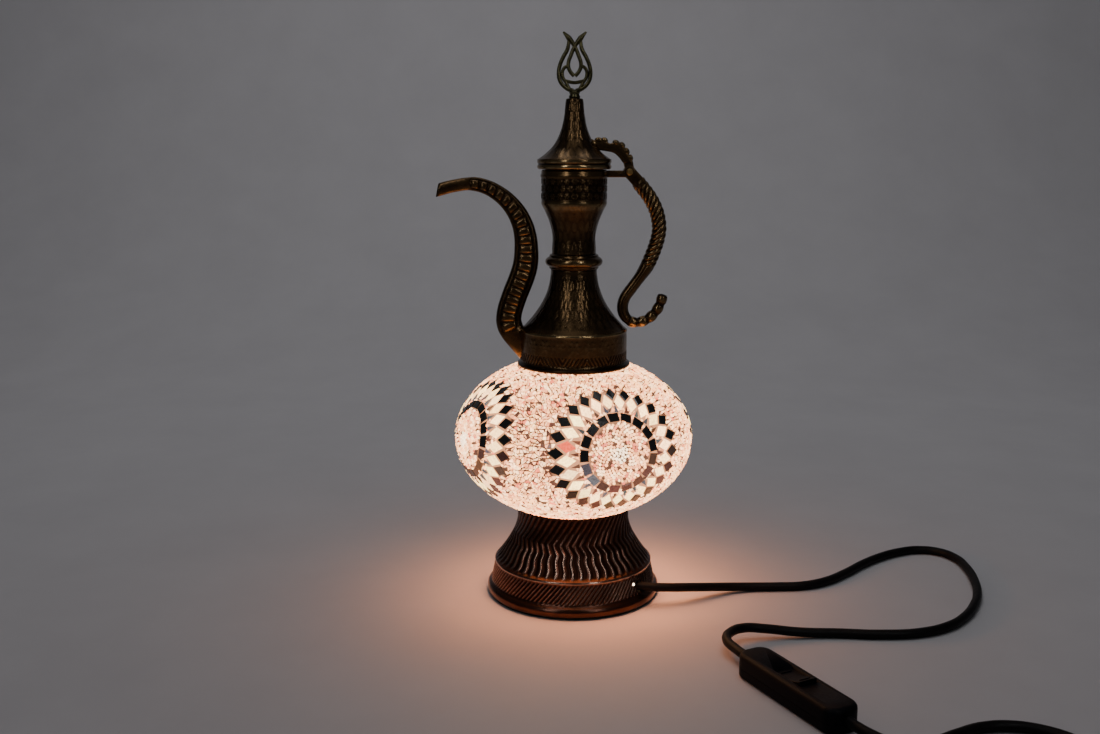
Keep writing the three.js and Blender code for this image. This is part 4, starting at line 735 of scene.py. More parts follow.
chips = []
for row in range(len(row_marks) - 1):
    low, high = row_marks[row], row_marks[row + 1]
    count = round(math.tau * globe_wide * math.cos((low + high) / 2) / chip_pitch)
    start = random.random()
    marks = [math.tau * (k + start + random.uniform(-0.36, 0.36)) / count for k in range(count)]
    slants = [math.tau * random.uniform(-0.42, 0.42) / count for k in range(count)]
    for k in range(count):
        after = (k + 1) % count
        left, right = marks[k], marks[after] + (0 if after else math.tau)
        feet = [left - slants[k], right - slants[after]]
        heads = [right + slants[after], left + slants[k]]
        corners = [on_globe(angle, row_line(row, angle)) for angle in feet]
        corners += [on_globe(angle, row_line(row + 1, angle)) for angle in heads]
        share = random.random()
        if share < 0.22:
            add_chip([corners[0], corners[1], corners[2]])
            add_chip([corners[0], corners[2], corners[3]])
        elif share < 0.44:
            add_chip([corners[0], corners[1], corners[3]])
            add_chip([corners[1], corners[2], corners[3]])
        else:
            add_chip(corners)
broken_glass = set_in_grout("broken_glass", chips)

lit_glass, tree, shader = new_finish(
    "lit mosaic glass", Roughness=0.2, Emission_Strength=5.0, Coat_Weight=0.4)
place = add_node(tree, "ShaderNodeTexCoord")
tint = add_node(tree, "ShaderNodeVertexColor", layer_name="tint")
seeds = add_node(tree, "ShaderNodeTexNoise", {"Scale": 900.0, "Detail": 2.0})
level = add_node(
    tree, "ShaderNodeMapRange", {"From Min": 0.3, "From Max": 0.7, "To Min": 0.62, "To Max": 1.16})
shade = add_node(tree, "ShaderNodeMix", {mix_share: 1.0}, data_type="RGBA", blend_type="MULTIPLY")
wire(
    tree,
    (place, "Object", seeds, "Vector"),
    (seeds, "Fac", level, "Value"),
    (tint, "Color", shade, mix_first),
    (level, "Result", shade, mix_second),
    (shade, mixed, shader, "Base Color"),
    (shade, mixed, shader, "Emission Color"),
)

# The grout is dark in the broken field, and lets the light through where it is thin between the tiles
grout, tree, shader = new_finish("grout", Roughness=0.6, Emission_Strength=2.0)
thinness = add_node(tree, "ShaderNodeAttribute", attribute_name="relief")
clotted = add_mottle(tree, (0.030, 0.012, 0.008), (0.125, 0.052, 0.031), 420.0, 0.6, 0.6)
through = add_node(tree, "ShaderNodeMix", {mix_second: (0.62, 0.26, 0.125, 1)}, data_type="RGBA")
wire(
    tree,
    (thinness, "Fac", through, mix_share),
    (clotted, "Color", through, mix_first),
    (through, mixed, shader, "Base Color"),
    (through, mixed, shader, "Emission Color"),
)
settle(grout_skin, "lamp", grout, "mosaic", "globe_mosaic")
for piece in (cut_tiles, bead_discs, broken_glass):
    settle(piece, "lamp", lit_glass, "mosaic")


# Ewer bell: the lowest and widest part of the ewer, spun from sheet bronze and chased. A dark lip sits on
# the globe, then come a fluted band, a skirt with flowers, a bright shoulder and leaves up to the neck.
ewer_foot, wall = 160.934, 1.2
skirt_radius, skirt_top, bell_top, throat = 36.1, 24.6, 65.5, 15.5
band_flutes, band_turns, skirt_flowers, bell_leaves = 84, 14, 22, 36
band_low, band_high, bloom_low, bloom_high, leaf_low, leaf_high = 4.4, 10.8, 12, 22, 28, 62


def by_hand(across, along):
    row = math.floor(along)
    cell = math.floor(across + 0.5 * (row % 2))
    return math.sin(12.9898 * cell + 78.233 * row) * 43758.5453 % 1


def flowers(across, along):
    row = math.floor(along)
    aside = (across + 0.5 * (row % 2)) % 1 - 0.5
    upward = along - row - 0.5
    reach, angle = 2 * math.hypot(aside, upward), math.atan2(upward, aside)
    edge = 0.6 + 0.34 * abs(math.cos(3 * angle))
    petal = (1 - smooth(edge - 0.22, edge, reach)) * (0.35 + 0.65 * abs(math.cos(3 * angle)))
    eye = 1 - smooth(0.16, 0.28, reach)
    return max(petal * smooth(0.2, 0.36, reach), eye) * (0.4 + 0.6 * by_hand(across, along))


def leaves(across, along):
    row = math.floor(along)
    aside = abs((across + 0.5 * (row % 2)) % 1 - 0.5)
    part = along - row + 0.16 * (by_hand(across, along) - 0.5)
    half = 0.45 * math.sin(math.pi * min(max(part, 0.02), 0.98)) ** 0.7
    return smooth(0, 0.6, 1 - aside / half) * (0.25 + 0.75 * by_hand(across, along))


def bell_radius(level):
    return throat + (skirt_radius - throat) * (1 - ramp(skirt_top, bell_top, level)) ** 2.1


def bell_chase(around, level):
    slant = 1 if math.floor(around * band_turns) % 2 else -1
    stripe = math.cos(math.pi * (band_flutes * around + slant * 0.22 * (level - 4.2))) ** 2
    band = between(band_low, band_high, 0.4, level)
    bloom = flowers(around * skirt_flowers, (level - 11.6) / 11) * between(bloom_low, bloom_high, 0.8, level)
    leaf = leaves(around * bell_leaves, (level - leaf_low) / 6.2)
    leaf *= between(leaf_low + 0.6, leaf_high - 0.5, 0.9, level)
    leafy = between(leaf_low, leaf_high, 0.6, level)
    shoulder = between(23.4, 25.4, 0.5, level)
    stand = 0.45 * band * (stripe - 0.8) + 0.14 * bloom + 0.18 * leaf + 0.3 * shoulder
    plain = 0.34 + 0.2 * between(10.6, 23, 0.5, level) + 0.5 * shoulder + 0.16 * between(26, 31, 0.6, level)
    plain -= 0.3 * (1 - smooth(2.6, 4, level))
    tone = (1 - max(band, leafy)) * plain + band * (0.08 + 0.42 * stripe) + 0.1 * bloom
    tone += leafy * (0.26 + 0.24 * leaf)
    return stand, tone, 0


bell_outside = [(36.4, 0.3), (37.6, 0), (38.2, 0.6), (38.3, 1.4), (37.9, 2.4), (36.8, 3.1), (36.2, 3.7)]
bell_outside += [(bell_radius(level), level) for level in levels(4.2, bell_top, 0.62)]
bell_inside = [
    (bell_radius(level) - wall, level) for level in (bell_top, 58, 50, 43, 37, 32, 28, 25, 20, 12, 4)
]
ewer_bell = turned_shell("bell", 420, ewer_foot, bell_outside, bell_inside, bell_chase)
bronze = aged_finish(
    "darkened bronze", (0.026, 0.016, 0.009), (0.165, 0.099, 0.046), (0.52, 0.37, 0.18), 0.5)
settle(ewer_bell, "lamp", bronze, "bronze", "ewer_bell")


# Bead ring: a turned bronze ring with a fine step on each side, soldered between the bell and the neck.
# Hands have rubbed it brighter than the chased parts.
ring_foot = 226.734
ring_outside = [
    (15.0, 0), (16.3, 0.2), (16.7, 0.8), (16.5, 1.5), (17.3, 2.0), (18.5, 2.8), (19.2, 3.9), (19.35, 4.9),
    (19.2, 5.9), (18.5, 7.0), (17.3, 7.8), (16.4, 8.3), (16.5, 9.0), (16.1, 9.6), (15.0, 9.8),
]
ring_inside = [(13.4, 9.8), (13.4, 0)]


def ring_chase(around, level):
    return 0, 0.34 + 0.3 * between(2.6, 7.2, 0.8, level), 0


bead_ring = turned_shell("bead_ring", 144, ring_foot, ring_outside, ring_inside, ring_chase)
settle(bead_ring, "lamp", bronze, "bronze", "neck_ring")


# Neck: a waist with long faint leaves that flares out to a smooth ridge, and a drum with embossed flowers
# under the rim. Spun bronze, chased from outside, soldered to the bead ring.
neck_foot = 236.834
waist_radius, waist_top, flare, flare_top = 14.3, 9.8, 7.1, 32
neck_leaves, drum_flowers = 22, 26
ridge_low, ridge_high, drum_low, drum_high, rim_top = 29.6, 35, 36.2, 50, 55.5


def neck_radius(level):
    if level < waist_top:
        return waist_radius + 0.5 * (1 - level / waist_top)
    return waist_radius + flare * ramp(waist_top, flare_top, level) ** 1.8


def neck_chase(around, level):
    leaf = leaves(around * neck_leaves, (level - 1.5) / 7) * between(2, 28, 1, level)
    drum = between(drum_low, drum_high, 0.5, level)
    bloom = flowers(around * drum_flowers, (level - drum_low) / 4.8) * drum
    ridge = between(ridge_low, ridge_high, 0.7, level)
    stand = 0.14 * leaf + 0.4 * bloom - 0.2 * drum
    waist = between(1.5, 28.5, 0.8, level)
    tone = waist * (0.3 + 0.2 * leaf) + drum * (0.14 + 0.4 * bloom) + 0.72 * ridge
    tone += (1 - min(1, waist + drum + ridge)) * 0.5
    return stand, tone, 0


neck_outside = [(neck_radius(level), level) for level in levels(0, flare_top, 0.7)]
neck_outside += [(21.8, 32.9), (22.0, 33.6), (21.9, 34.5), (21.8, 35.4)]
neck_outside += [(21.9, level) for level in levels(36, drum_high, 0.5)]
neck_outside += [(22.3, 50.8), (22.5, 51.6), (22.3, 52.5), (21.9, 53.2), (21.9, 54.4), (21.4, rim_top)]
neck_inside = [(20.6, rim_top), (20.6, 36), (20.2, flare_top)]
neck_inside += [(neck_radius(level) - wall, level) for level in (28, 23, 18, 12, 6, 0)]
ewer_neck = turned_shell("neck", 360, neck_foot, neck_outside, neck_inside, neck_chase)
settle(ewer_neck, "lamp", bronze, "bronze", "ewer_neck")


# Spout: a swan neck of flattened section, cast in bronze with a ladder of raised pads between two smooth
# rails and a plain beak, and soldered to the skirt of the bell.
def curve_through(knots):
    ends = [2 * knots[0] - knots[1], *knots, 2 * knots[-1] - knots[-2]]
    line = []
    for k in range(len(knots) - 1):
        a, b, c, d = ends[k:k + 4]
        for step in range(12):
            t = step / 12
            line.append(0.5 * (2 * b + (c - a) * t + (2 * a - 5 * b + 4 * c - d) * t * t
                               + (3 * b - a - 3 * c + d) * t ** 3))
    line.append(knots[-1])
    return line


def measured(knots):
    marks = [0.0]
    for a, b in zip(knots, knots[1:]):
        marks.append(marks[-1] + (b - a).length)
    return knots, marks


def curve_spot(line, share):
    knots, marks = line
    target = ramp(0, 1, share) * marks[-1]
    k = next(index for index in range(len(marks) - 1) if target <= marks[index + 1] + 1e-9)
    part = (target - marks[k]) / (marks[k + 1] - marks[k])
    before, after = knots[max(k - 1, 0)], knots[min(k + 2, len(knots) - 1)]
    return knots[k].lerp(knots[k + 1], part), (after - before).normalized()


# A piece drawn out along its length: a station is a share of that length and how full the section is there
def drawn_out(name, columns, stations, section):
    rows = len(stations) - 1

    def place(around, along):
        return section(around, *stations[round(along * rows)])

    return worked_sheet(name, columns, rows, place)


spout_reach, spout_rise, spout_half, spout_narrowing, spout_flatness = 55, 122.3, 8.2, 4.0, 0.78
spout_line = measured(curve_through([
    Vector((-(skirt_radius + reach * spout_reach), 0, ewer_foot + up * spout_rise)) for reach, up in (
        (-0.109, 0.078), (0.018, 0.143), (0.102, 0.19), (0.144, 0.241), (0.14, 0.286), (0.116, 0.331),
        (0.058, 0.405), (-0.009, 0.479), (-0.06, 0.553), (-0.075, 0.63), (-0.065, 0.711), (-0.024, 0.785),
        (0.062, 0.859), (0.198, 0.926), (0.38, 0.978), (0.58, 1), (0.798, 0.989), (1, 0.966))]))
ladder_start, ladder_end, pads = 0.12, 0.86, 20
spout_stations = [(0, 0.01), (0, 1)] + [(share, 1) for share in levels(0.012, 0.988, 0.0045)]
spout_stations += [(1, 1), (1, 0.78), (0.985, 0.72), (0.95, 0.7), (0.95, 0.01)]


def spout_section(around, share, scale):
    middle, forward = curve_spot(spout_line, share)
    sideways = Vector((forward.z, 0, -forward.x))
    half = spout_half - spout_narrowing * smooth(0.35, 0.88, share)
    angle = math.tau * around
    ladder = between(ladder_start, ladder_end, 0.02, share)
    phase = (share - ladder_start) / (ladder_end - ladder_start) * pads
    rung = between(0.16, 0.84, 0.1, phase % 1) * between(ladder_start, ladder_end, 0.004, share)
    cheek = 1 - smooth(0.5, 0.66, abs(math.cos(angle)))
    rail = smooth(0.66, 0.8, abs(math.cos(angle))) * ladder
    pad = rung * cheek
    inlet = (1 - cheek - rail) * ladder
    stand = 0.75 * pad - 0.45 * max(inlet, 0) - 0.35 * (cheek - pad) * ladder
    side = (half + 0.4 * rail) * scale * math.cos(angle)
    depth = half * spout_flatness * abs(math.sin(angle)) ** 0.6 + stand
    depth = math.copysign(depth, math.sin(angle)) * scale
    shear = -0.5 * side * smooth(0.93, 1, share)
    spot = middle + side * sideways + shear * forward + Vector((0, depth, 0))
    chased = between(ladder_start, ladder_end, 0.01, share)
    tone = chased * (0.05 + 0.5 * pad + 0.26 * rail) + (1 - chased) * 0.36
    return spot, tone


spout = drawn_out("swan_spout", 64, spout_stations, spout_section)
settle(spout, "lamp", bronze, "bronze", "spout")


# Handle: a bronze casting in one piece. A bar soldered to the neck reaches out to the hinge fork, a rope of
# five strands bows down from it to a smooth bend by the shoulder, and a beaded tail curls up behind.
hinge = Vector((36.5, 0, 291.03))
shoulder_height = ewer_foot + skirt_top
handle_bow, tail_reach = 20.4, 24.4
handle_line = measured(curve_through([
    Vector((hinge.x + reach * handle_bow, 0, shoulder_height + (hinge.z - shoulder_height) * share))
    for reach, share in (
        (0.127, 0.975), (0.402, 0.911), (0.691, 0.838), (0.892, 0.762), (0.99, 0.687), (1, 0.621))
] + [
    Vector((skirt_radius + reach * tail_reach, 0, shoulder_height + (hinge.z - shoulder_height) * share))
    for reach, share in (
        (0.766, 0.535), (0.57, 0.42), (0.365, 0.343), (0.123, 0.266), (-0.057, 0.205), (-0.123, 0.147),
        (-0.074, 0.091), (0.098, 0.051), (0.344, 0.045), (0.598, 0.068), (0.799, 0.113), (0.926, 0.167),
        (1, 0.226))
]))
handle_length = handle_line[1][-1]
strands, rope_pitch, rope_radius = 5, 19, 5
rope_end, bend_end, tail_beads = 0.46, 0.76, 5
handle_stations = [(0.03, 0.01), (0.03, 0.7), (0.036, 1)]
handle_stations += [(share, 1) for share in levels(0.042, 0.994, 0.0048)]
handle_stations += [(0.998, 0.75), (1, 0.4), (1, 0.01)]


def handle_section(around, share, scale):
    middle, forward = curve_spot(handle_line, share)
    sideways = Vector((forward.z, 0, -forward.x))
    rope = 1 - smooth(rope_end - 0.02, rope_end + 0.03, share)
    tail = smooth(bend_end - 0.01, bend_end + 0.01, share)
    strand = abs(math.cos(math.pi * strands * around)) ** 0.7
    twist = math.tau * min(share, rope_end) * handle_length / rope_pitch
    angle = math.tau * around + twist
    bead = abs(math.sin(math.pi * tail_beads * (share - bend_end) / (1 - bend_end)))
    radius = rope_radius - 1.15 * smooth(rope_end - 0.03, rope_end + 0.09, share)
    radius -= 0.35 * smooth(0.7, bend_end, share)
    groove = (1.0 * rope + 0.4 * (1 - rope) * (1 - tail)) * (strand - 1)
    reach = scale * (radius + groove + tail * (0.75 * bead - 0.55))
    tone = rope * (0.02 + 0.66 * strand) + (1 - rope) * (1 - tail) * (0.14 + 0.34 * strand)
    tone += tail * (0.05 + 0.6 * smooth(0.3, 0.9, bead))
    return middle + reach * math.cos(angle) * sideways + Vector((0, reach * math.sin(angle), 0)), tone


rope_handle = drawn_out("rope_handle", 12 * strands, handle_stations, handle_section)


def sawn_block(name, low, high):
    take()
    middle = [(a + b) / 2 * millimetre for a, b in zip(low, high)]
    bpy.ops.mesh.primitive_cube_add(size=1, location=middle)
    block = bpy.context.object
    block.name = name
    block.scale = [(b - a) * millimetre for a, b in zip(low, high)]
    bpy.ops.object.transform_apply()
    return block


def bevelled_block(name, low, high, edge):
    block = sawn_block(name, low, high)
    bpy.ops.object.mode_set(mode="EDIT")
    bpy.ops.mesh.select_all(action="SELECT")
    bpy.ops.mesh.bevel(offset=edge * millimetre, segments=3, affect="EDGES")
    bpy.ops.object.mode_set(mode="OBJECT")
    bpy.ops.object.shade_smooth_by_angle(angle=math.radians(40))
    return block


def tone_all(piece, tone):
    if "relief" not in piece.data.attributes:
        piece.data.attributes.new("relief", "FLOAT", "POINT")
    piece.data.attributes["relief"].data.foreach_set("value", [tone] * len(piece.data.vertices))


def fuse(name, *pieces):
    take(*pieces)
    bpy.ops.object.join()
    pieces[0].name = name
    return pieces[0]


def cut_plate(name, outline, width, edge):
    plate = bpy.data.curves.new(name, "CURVE")
    plate.dimensions = "2D"
    plate.fill_mode = "BOTH"
    plate.bevel_depth = edge * millimetre
    plate.bevel_resolution = 2
    plate.extrude = (width / 2 - edge) * millimetre
    plate.offset = -edge * millimetre
    line = plate.splines.new("POLY")
    line.points.add(len(outline) - 1)
    line.use_cyclic_u = True
    for knot, (across, up) in zip(line.points, outline):
        knot.co = (across * millimetre, up * millimetre, 0, 1)
    take(add_piece(name, plate))
    bpy.ops.object.convert(target="MESH")
    piece = bpy.context.object
    piece.rotation_euler = (math.pi / 2, 0, 0)
    bpy.ops.object.transform_apply()
    close_seams()
    bpy.ops.object.shade_smooth_by_angle(angle=math.radians(50))
    return piece


def strap_outline(start, end, radius):
    way = math.atan2(end[1] - start[1], end[0] - start[0])
    turns = levels(math.pi / 2, 3 * math.pi / 2, math.pi / 12)
    outline = []
    for (across, up), half in ((start, 0), (end, math.pi)):
        for turn in turns:
            angle = way + turn + half
            outline.append((across + radius * math.cos(angle), up + radius * math.sin(angle)))
    return outline


eye_radius, tongue_half, ear_width, play = 4, 2, 2.2, 0.3
bar_half, bar_low, bar_high = 3.5, hinge.z - 3.5, hinge.z + 0.9
ear_middle = tongue_half + play + ear_width / 2
bar = bevelled_block("bar", (20.4, -bar_half, bar_low), (hinge.x - 5, bar_half, bar_high), 0.6)
prongs = []
for side in (-1, 1):
    near, far = side * ear_middle - ear_width / 2, side * ear_middle + ear_width / 2
    prongs.append(bevelled_block("prong", (hinge.x - 5.6, near, bar_low), (hinge.x, far, bar_high), 0.4))
rope_head = (hinge.x + 6.5, hinge.z - 7)
ears = []
for side in (-1, 1):
    ear = cut_plate("ear", strap_outline((hinge.x, hinge.z), rope_head, eye_radius), ear_width, 0.5)
    ear.location.y = side * ear_middle * millimetre
    bpy.ops.object.transform_apply()
    ears.append(ear)
for piece in (bar, *prongs, *ears):
    tone_all(piece, 0.34)
rope_handle = fuse("rope_handle", rope_handle, bar, *prongs, *ears)
settle(rope_handle, "lamp", bronze, "bronze", "handle")


# Lid: a spire of spun bronze with two beads at its brim and leaves chased up its cone. A spigot under the
# brim drops into the neck, and the lid swings up on the lever behind it.
lid_foot = 292.734
cone_foot, cone_top, cone_tip, cone_spread, cone_fall, cone_leaves = 6.3, 45.4, 5.6, 19.1, 3.3, 20


def cone_radius(level):
    end = math.exp(-cone_fall)
    fall = math.exp(-cone_fall * ramp(cone_foot, cone_top, level))
    return cone_tip + cone_spread * (fall - end) / (1 - end)


def lid_chase(around, level):
    cone = between(8, 44.6, 0.8, level)
    leaf = leaves(around * cone_leaves, (level - 7.4) / 6) * cone
    brim = between(0.3, 6, 0.5, level)
    stand = 0.18 * leaf
    tone = cone * (0.26 + 0.28 * leaf) + 0.78 * brim * (1 - between(2.9, 3.9, 0.3, level))
    tone += (1 - min(1, cone + brim)) * 0.4
    return stand, tone, 0


lid_outside = [
    (17.8, -5), (18.7, -4.8), (19, -4.2), (19, -0.2), (23.2, 0), (24.1, 0.3), (24.6, 0.9), (24.75, 1.7),
    (24.6, 2.5), (24.1, 3.1), (23.9, 3.5), (24.2, 3.9), (24.6, 4.4), (24.75, 5.1), (24.6, 5.7),
]
lid_outside += [(cone_radius(level), level) for level in levels(cone_foot, cone_top, 0.6)]
lid_outside += [(5.0, 45.7), (2.0, 45.7)]
lid_inside = [(2.0, 44)]
lid_inside += [(cone_radius(level) - wall, level) for level in (40, 34, 28, 22, 17, 13)]
lid_inside += [(17.8, 8)]
spire = turned_shell("lid_spire", 288, lid_foot, lid_outside, lid_inside, lid_chase)
settle(spire, "lid", bronze, "bronze", "lid")


# Lever: a cast bronze arm that carries the lid over to the hinge, with a curled leaf and a thumb knob along
# its back. It is soldered to the cone, and a narrow tongue turns on the pin between the ears of the handle.
def flat_curve(knots):
    return [(spot.x, spot.z) for spot in curve_through([Vector((x, 0, z)) for x, z in knots])]


def cone_spot(share):
    level = cone_foot + (cone_top - cone_foot) * share
    return cone_radius(level) - wall - hinge.x, lid_foot + level - hinge.z


def from_hinge(points):
    return [(hinge.x + across, hinge.z + up) for across, up in points]


arm_back = flat_curve([
    cone_spot(0.36), (-22.5, 20.6), (-17, 21.6), (-13.2, 18.6), (-8.5, 19.8), (-4.2, 17.2), (-0.4, 11.5),
    (2.0, 7.2), (2.5, 5.6),
])
arm_under = flat_curve([(-3.6, 5.6), (-4.8, 6.6), (-6.2, 8.6), (-10.2, 12.2), (-15, 13.4), cone_spot(0.16)])
arm_width, arm_edge, tongue_edge = 6.4, 1.1, 0.3
arm = cut_plate("lever_arm", from_hinge(arm_back + arm_under), arm_width, arm_edge)
tongue_turns = levels(math.radians(140), math.radians(400), math.radians(12))
tongue_round = [(eye_radius * math.cos(angle), eye_radius * math.sin(angle)) for angle in tongue_turns]
tongue_outline = from_hinge(tongue_round + [(2.2, 7), (-4.2, 7)])
tongue = cut_plate("lever_tongue", tongue_outline, 2 * tongue_half, tongue_edge)
tone_all(arm, 0.42)
tone_all(tongue, 0.42)


def cast_bump(name, centre, size, tilt):
    take()
    bpy.ops.mesh.primitive_uv_sphere_add(
        segments=20, ring_count=12, radius=millimetre, location=centre * millimetre, rotation=(0, tilt, 0))
    bump = bpy.context.object
    bump.name = name
    bump.scale = size
    bpy.ops.object.transform_apply()
    bpy.ops.object.shade_smooth()
    tone_all(bump, 0.7)
    return bump


# Lobes of the leaf and the knob: their place across and up from the hinge, half length, half height and tilt
lobe_side, lobe_half = 2.3, 1.5
bumps = []
for across, up, long, high, tilt in [
    (-24.5, 18.4, 3.2, 1.5, -0.2), (-20.4, 21.0, 2.6, 1.5, 0.1), (-16.4, 20.8, 2.2, 1.5, 0.6),
    (-9.0, 19.2, 2.3, 1.6, 0.3), (-4.8, 17.6, 2.2, 1.5, 0.8), (-1.6, 13.6, 2.4, 1.4, 1.1),
    (0.9, 9.4, 2.2, 1.3, 1.2),
]:
    for side in (-1, 1):
        centre = hinge + Vector((across, side * lobe_side, up))
        bumps.append(cast_bump("leaf_lobe", centre, (long, lobe_half, high), tilt))
lever = fuse("lever", arm, tongue, *bumps)
settle(lever, "lid", bronze, "bronze", "lid_lever")


# Finial: an open tulip cast in brass, greenish with age. Two horns cross and close into a drop between the
# outer petals, with inner petals and a tie low down, on a collar that is screwed into the tip of the lid.
finial_foot, collar_rise, tulip_half, tulip_rise = 338.434, 5, 10.4, 37.3


def bent_rod(name, route, girth, facets):
    rod = bpy.data.curves.new(name, "CURVE")
    rod.dimensions = "3D"
    rod.bevel_depth = girth * millimetre
    rod.bevel_resolution = facets
    rod.resolution_u = 8
    rod.use_fill_caps = True
    line = rod.splines.new("BEZIER")
    line.bezier_points.add(len(route) - 1)
    for knot, stop in zip(line.bezier_points, route):
        knot.co = Vector(stop) * millimetre
        knot.handle_left_type = knot.handle_right_type = "AUTO"
    return add_piece(name, rod)


def cast_rod(name, points, girth, tip, shoulder, root):
    foot = finial_foot + collar_rise
    route = [(across * tulip_half, 0, foot + up * tulip_rise) for across, up in points]
    piece = bent_rod(name, route, girth, 3)
    swells = [tip, shoulder] + [1] * (len(points) - 3) + [root]
    for knot, swell in zip(piece.data.splines[0].bezier_points, swells):
        knot.radius = swell
    take(piece)
    bpy.ops.object.convert(target="MESH")
    piece = bpy.context.object
    tone_all(piece, 0.55)
    bpy.ops.object.shade_smooth()
    return piece


horn = [(-0.72, 1), (-0.36, 0.89), (-0.04, 0.77), (0.24, 0.6), (0.4, 0.44), (0.28, 0.33), (0.03, 0.25)]
outer_petal = [
    (0.36, 0.86), (0.45, 0.71), (0.72, 0.57), (0.94, 0.42), (1, 0.28), (0.88, 0.15), (0.5, 0.04), (0.1, 0),
]
inner_petal = [(0.4, 0.43), (0.68, 0.38), (0.76, 0.25), (0.52, 0.13), (0.3, 0.02)]
rods = []
for side in (-1, 1):
    for name, points, girth, tip, shoulder, root in (
        ("horn", horn, 1.3, 0.45, 1.45, 1),
        ("outer_petal", outer_petal, 1.35, 0.8, 1, 1.1),
        ("inner_petal", inner_petal, 1.15, 1, 1, 1),
    ):
        sided = [(side * across, up) for across, up in points]
        rods.append(cast_rod(name, sided, girth, tip, shoulder, root))
rods.append(cast_rod("tie", [(-0.6, 0.17), (0, 0.14), (0.6, 0.17)], 1.15, 1, 1, 1))
collar_outside = [
    (1.8, -6), (1.8, 0), (3.3, 0), (3.7, 0.5), (3.7, 1.6), (3.1, 2.4), (3.1, 3.0), (3.6, 3.8), (3.6, 4.6),
    (3.0, 5.2), (0.6, 6),
]


def collar_chase(around, level):
    return 0, 0.6, 0


collar = turned_shell("collar", 48, finial_foot, collar_outside, [(0.6, -6)], collar_chase)
tulip = fuse("tulip_finial", collar, *rods)
old_brass = aged_finish(
    "greenish brass", (0.014, 0.014, 0.008), (0.13, 0.115, 0.055), (0.42, 0.37, 0.20), 0.5)
settle(tulip, "lid", old_brass, "brass", "finial")


# Inline switch: two halves of black moulded plastic held by two screws from below, with a rocker in a well
# in the upper half. The lead goes in at one end and out at the other.
switch_middle, switch_turn = (121.7, -171.2), math.radians(-63)
switch_long, switch_wide, switch_split, switch_high, switch_corner, seam = 86, 22, 6, 15, 8, 0.3
tray_edge, lid_edge = 2, 3


def lay_on_switch(piece):
    piece.rotation_euler = (0, 0, switch_turn)
    piece.location = (switch_middle[0] * millimetre, switch_middle[1] * millimetre, 0)
    take(piece)
    bpy.ops.object.transform_apply()


def moulded_half(name, low, high, edge_height, edge):
    half_long, half_wide = switch_long / 2, switch_wide / 2
    half = sawn_block(name, (-half_long, -half_wide, low), (half_long, half_wide, high))
    bpy.ops.object.mode_set(mode="EDIT")
    bpy.ops.mesh.select_mode(type="EDGE")
    bpy.ops.mesh.select_all(action="DESELECT")
    bpy.ops.object.mode_set(mode="OBJECT")
    for line in half.data.edges:
        a, b = (half.data.vertices[k].co for k in line.vertices)
        line.select = abs(a.z - b.z) > millimetre
    bpy.ops.object.mode_set(mode="EDIT")
    bpy.ops.mesh.bevel(offset=switch_corner * millimetre, segments=8, affect="EDGES")
    choose(half, lambda corner: abs(corner.z - edge_height * millimetre) < 0.1 * millimetre)
    bpy.ops.mesh.select_mode(type="EDGE")
    bpy.ops.mesh.bevel(offset=edge * millimetre, segments=5, affect="EDGES")
    bpy.ops.object.mode_set(mode="OBJECT")
    bpy.ops.object.shade_smooth_by_angle(angle=math.radians(35))
    return half


rocker_long, rocker_wide, rocker_axis, rocker_tilt = 23, 12, 12, math.radians(9)
lower_half = moulded_half("switch_tray", 0, switch_split, 0, tray_edge)
upper_half = moulded_half("switch_lid", switch_split + seam, switch_high, switch_high, lid_edge)
well_long, well_wide = rocker_long / 2 + 0.5, rocker_wide / 2 + 0.5
well_low, well_high = switch_split + 1.5, switch_high + 4
well = bevelled_block("well", (-well_long, -well_wide, well_low), (well_long, well_wide, well_high), 0.4)
cut_out(upper_half, well)

rocker_half = rocker_long / 2 - 0.4
paddle_outline = [
    (-rocker_half, 3.4), (-rocker_half, -0.8), (-rocker_half / 2, -2.4), (rocker_half / 2, -2.4),
    (rocker_half, -0.8), (rocker_half, 3.4),
]
for share in levels(0.1, 1.9, 0.1):
    paddle_outline.append((rocker_half * (1 - share), 2.2 + 1.2 * (1 - share) ** 2))
rocker = cut_plate("rocker_paddle", paddle_outline, rocker_wide, 0.5)
ridges = []
for side in (-1, 1):
    across = side * rocker_half * 0.72
    ridges.append(bevelled_block("ridge", (across - 0.4, -3.6, 2.4), (across + 0.4, 3.6, 3.4), 0.2))
rocker = fuse("rocker_paddle", rocker, *ridges)
rocker.rotation_euler = (0, -rocker_tilt, 0)
rocker.location = (0, 0, rocker_axis * millimetre)
bpy.ops.object.transform_apply()
for piece in (lower_half, upper_half, rocker):
    lay_on_switch(piece)

satin_black = mottled_finish(
    "satin black", (0.003, 0.0024, 0.0045), (0.007, 0.0056, 0.009), 700.0, 0.42, 0.55, 0.0002,
    Specular_IOR_Level=0.07)
settle(lower_half, "lamp", satin_black, "black_plastic", "switch_base")
settle(upper_half, "lamp", satin_black, "black_plastic", "switch_cover")
settle(rocker, "rocker", satin_black, "black_plastic", "switch_rocker")
dress(zinc, "switch_screw_1", "switch_screw_2")


# Plug: two round pins in a flat moulded body that widens towards them, with a ribbed strain relief behind.
# Black plastic moulded onto the lead, lying on the table at the end of the coil.
plug_start, relief_long, body_long = Vector((183.4, -334, 6.9)), 25, 36
plug_wide, plug_high, lead_radius = 34, 13.6, 3


def squared(angle, power):
    across, up = math.cos(angle), math.sin(angle)
    return math.copysign(abs(across) ** power, across), math.copysign(abs(up) ** power, up)


relief_stations = [(0, 0.02), (0, 0.9)] + [(share, 1) for share in levels(0.01, 0.99, 0.02)]
relief_stations += [(1, 0.94), (1, 0.02)]
relief_ribs, grip_ribs, plug_square = 6, 14, 0.7


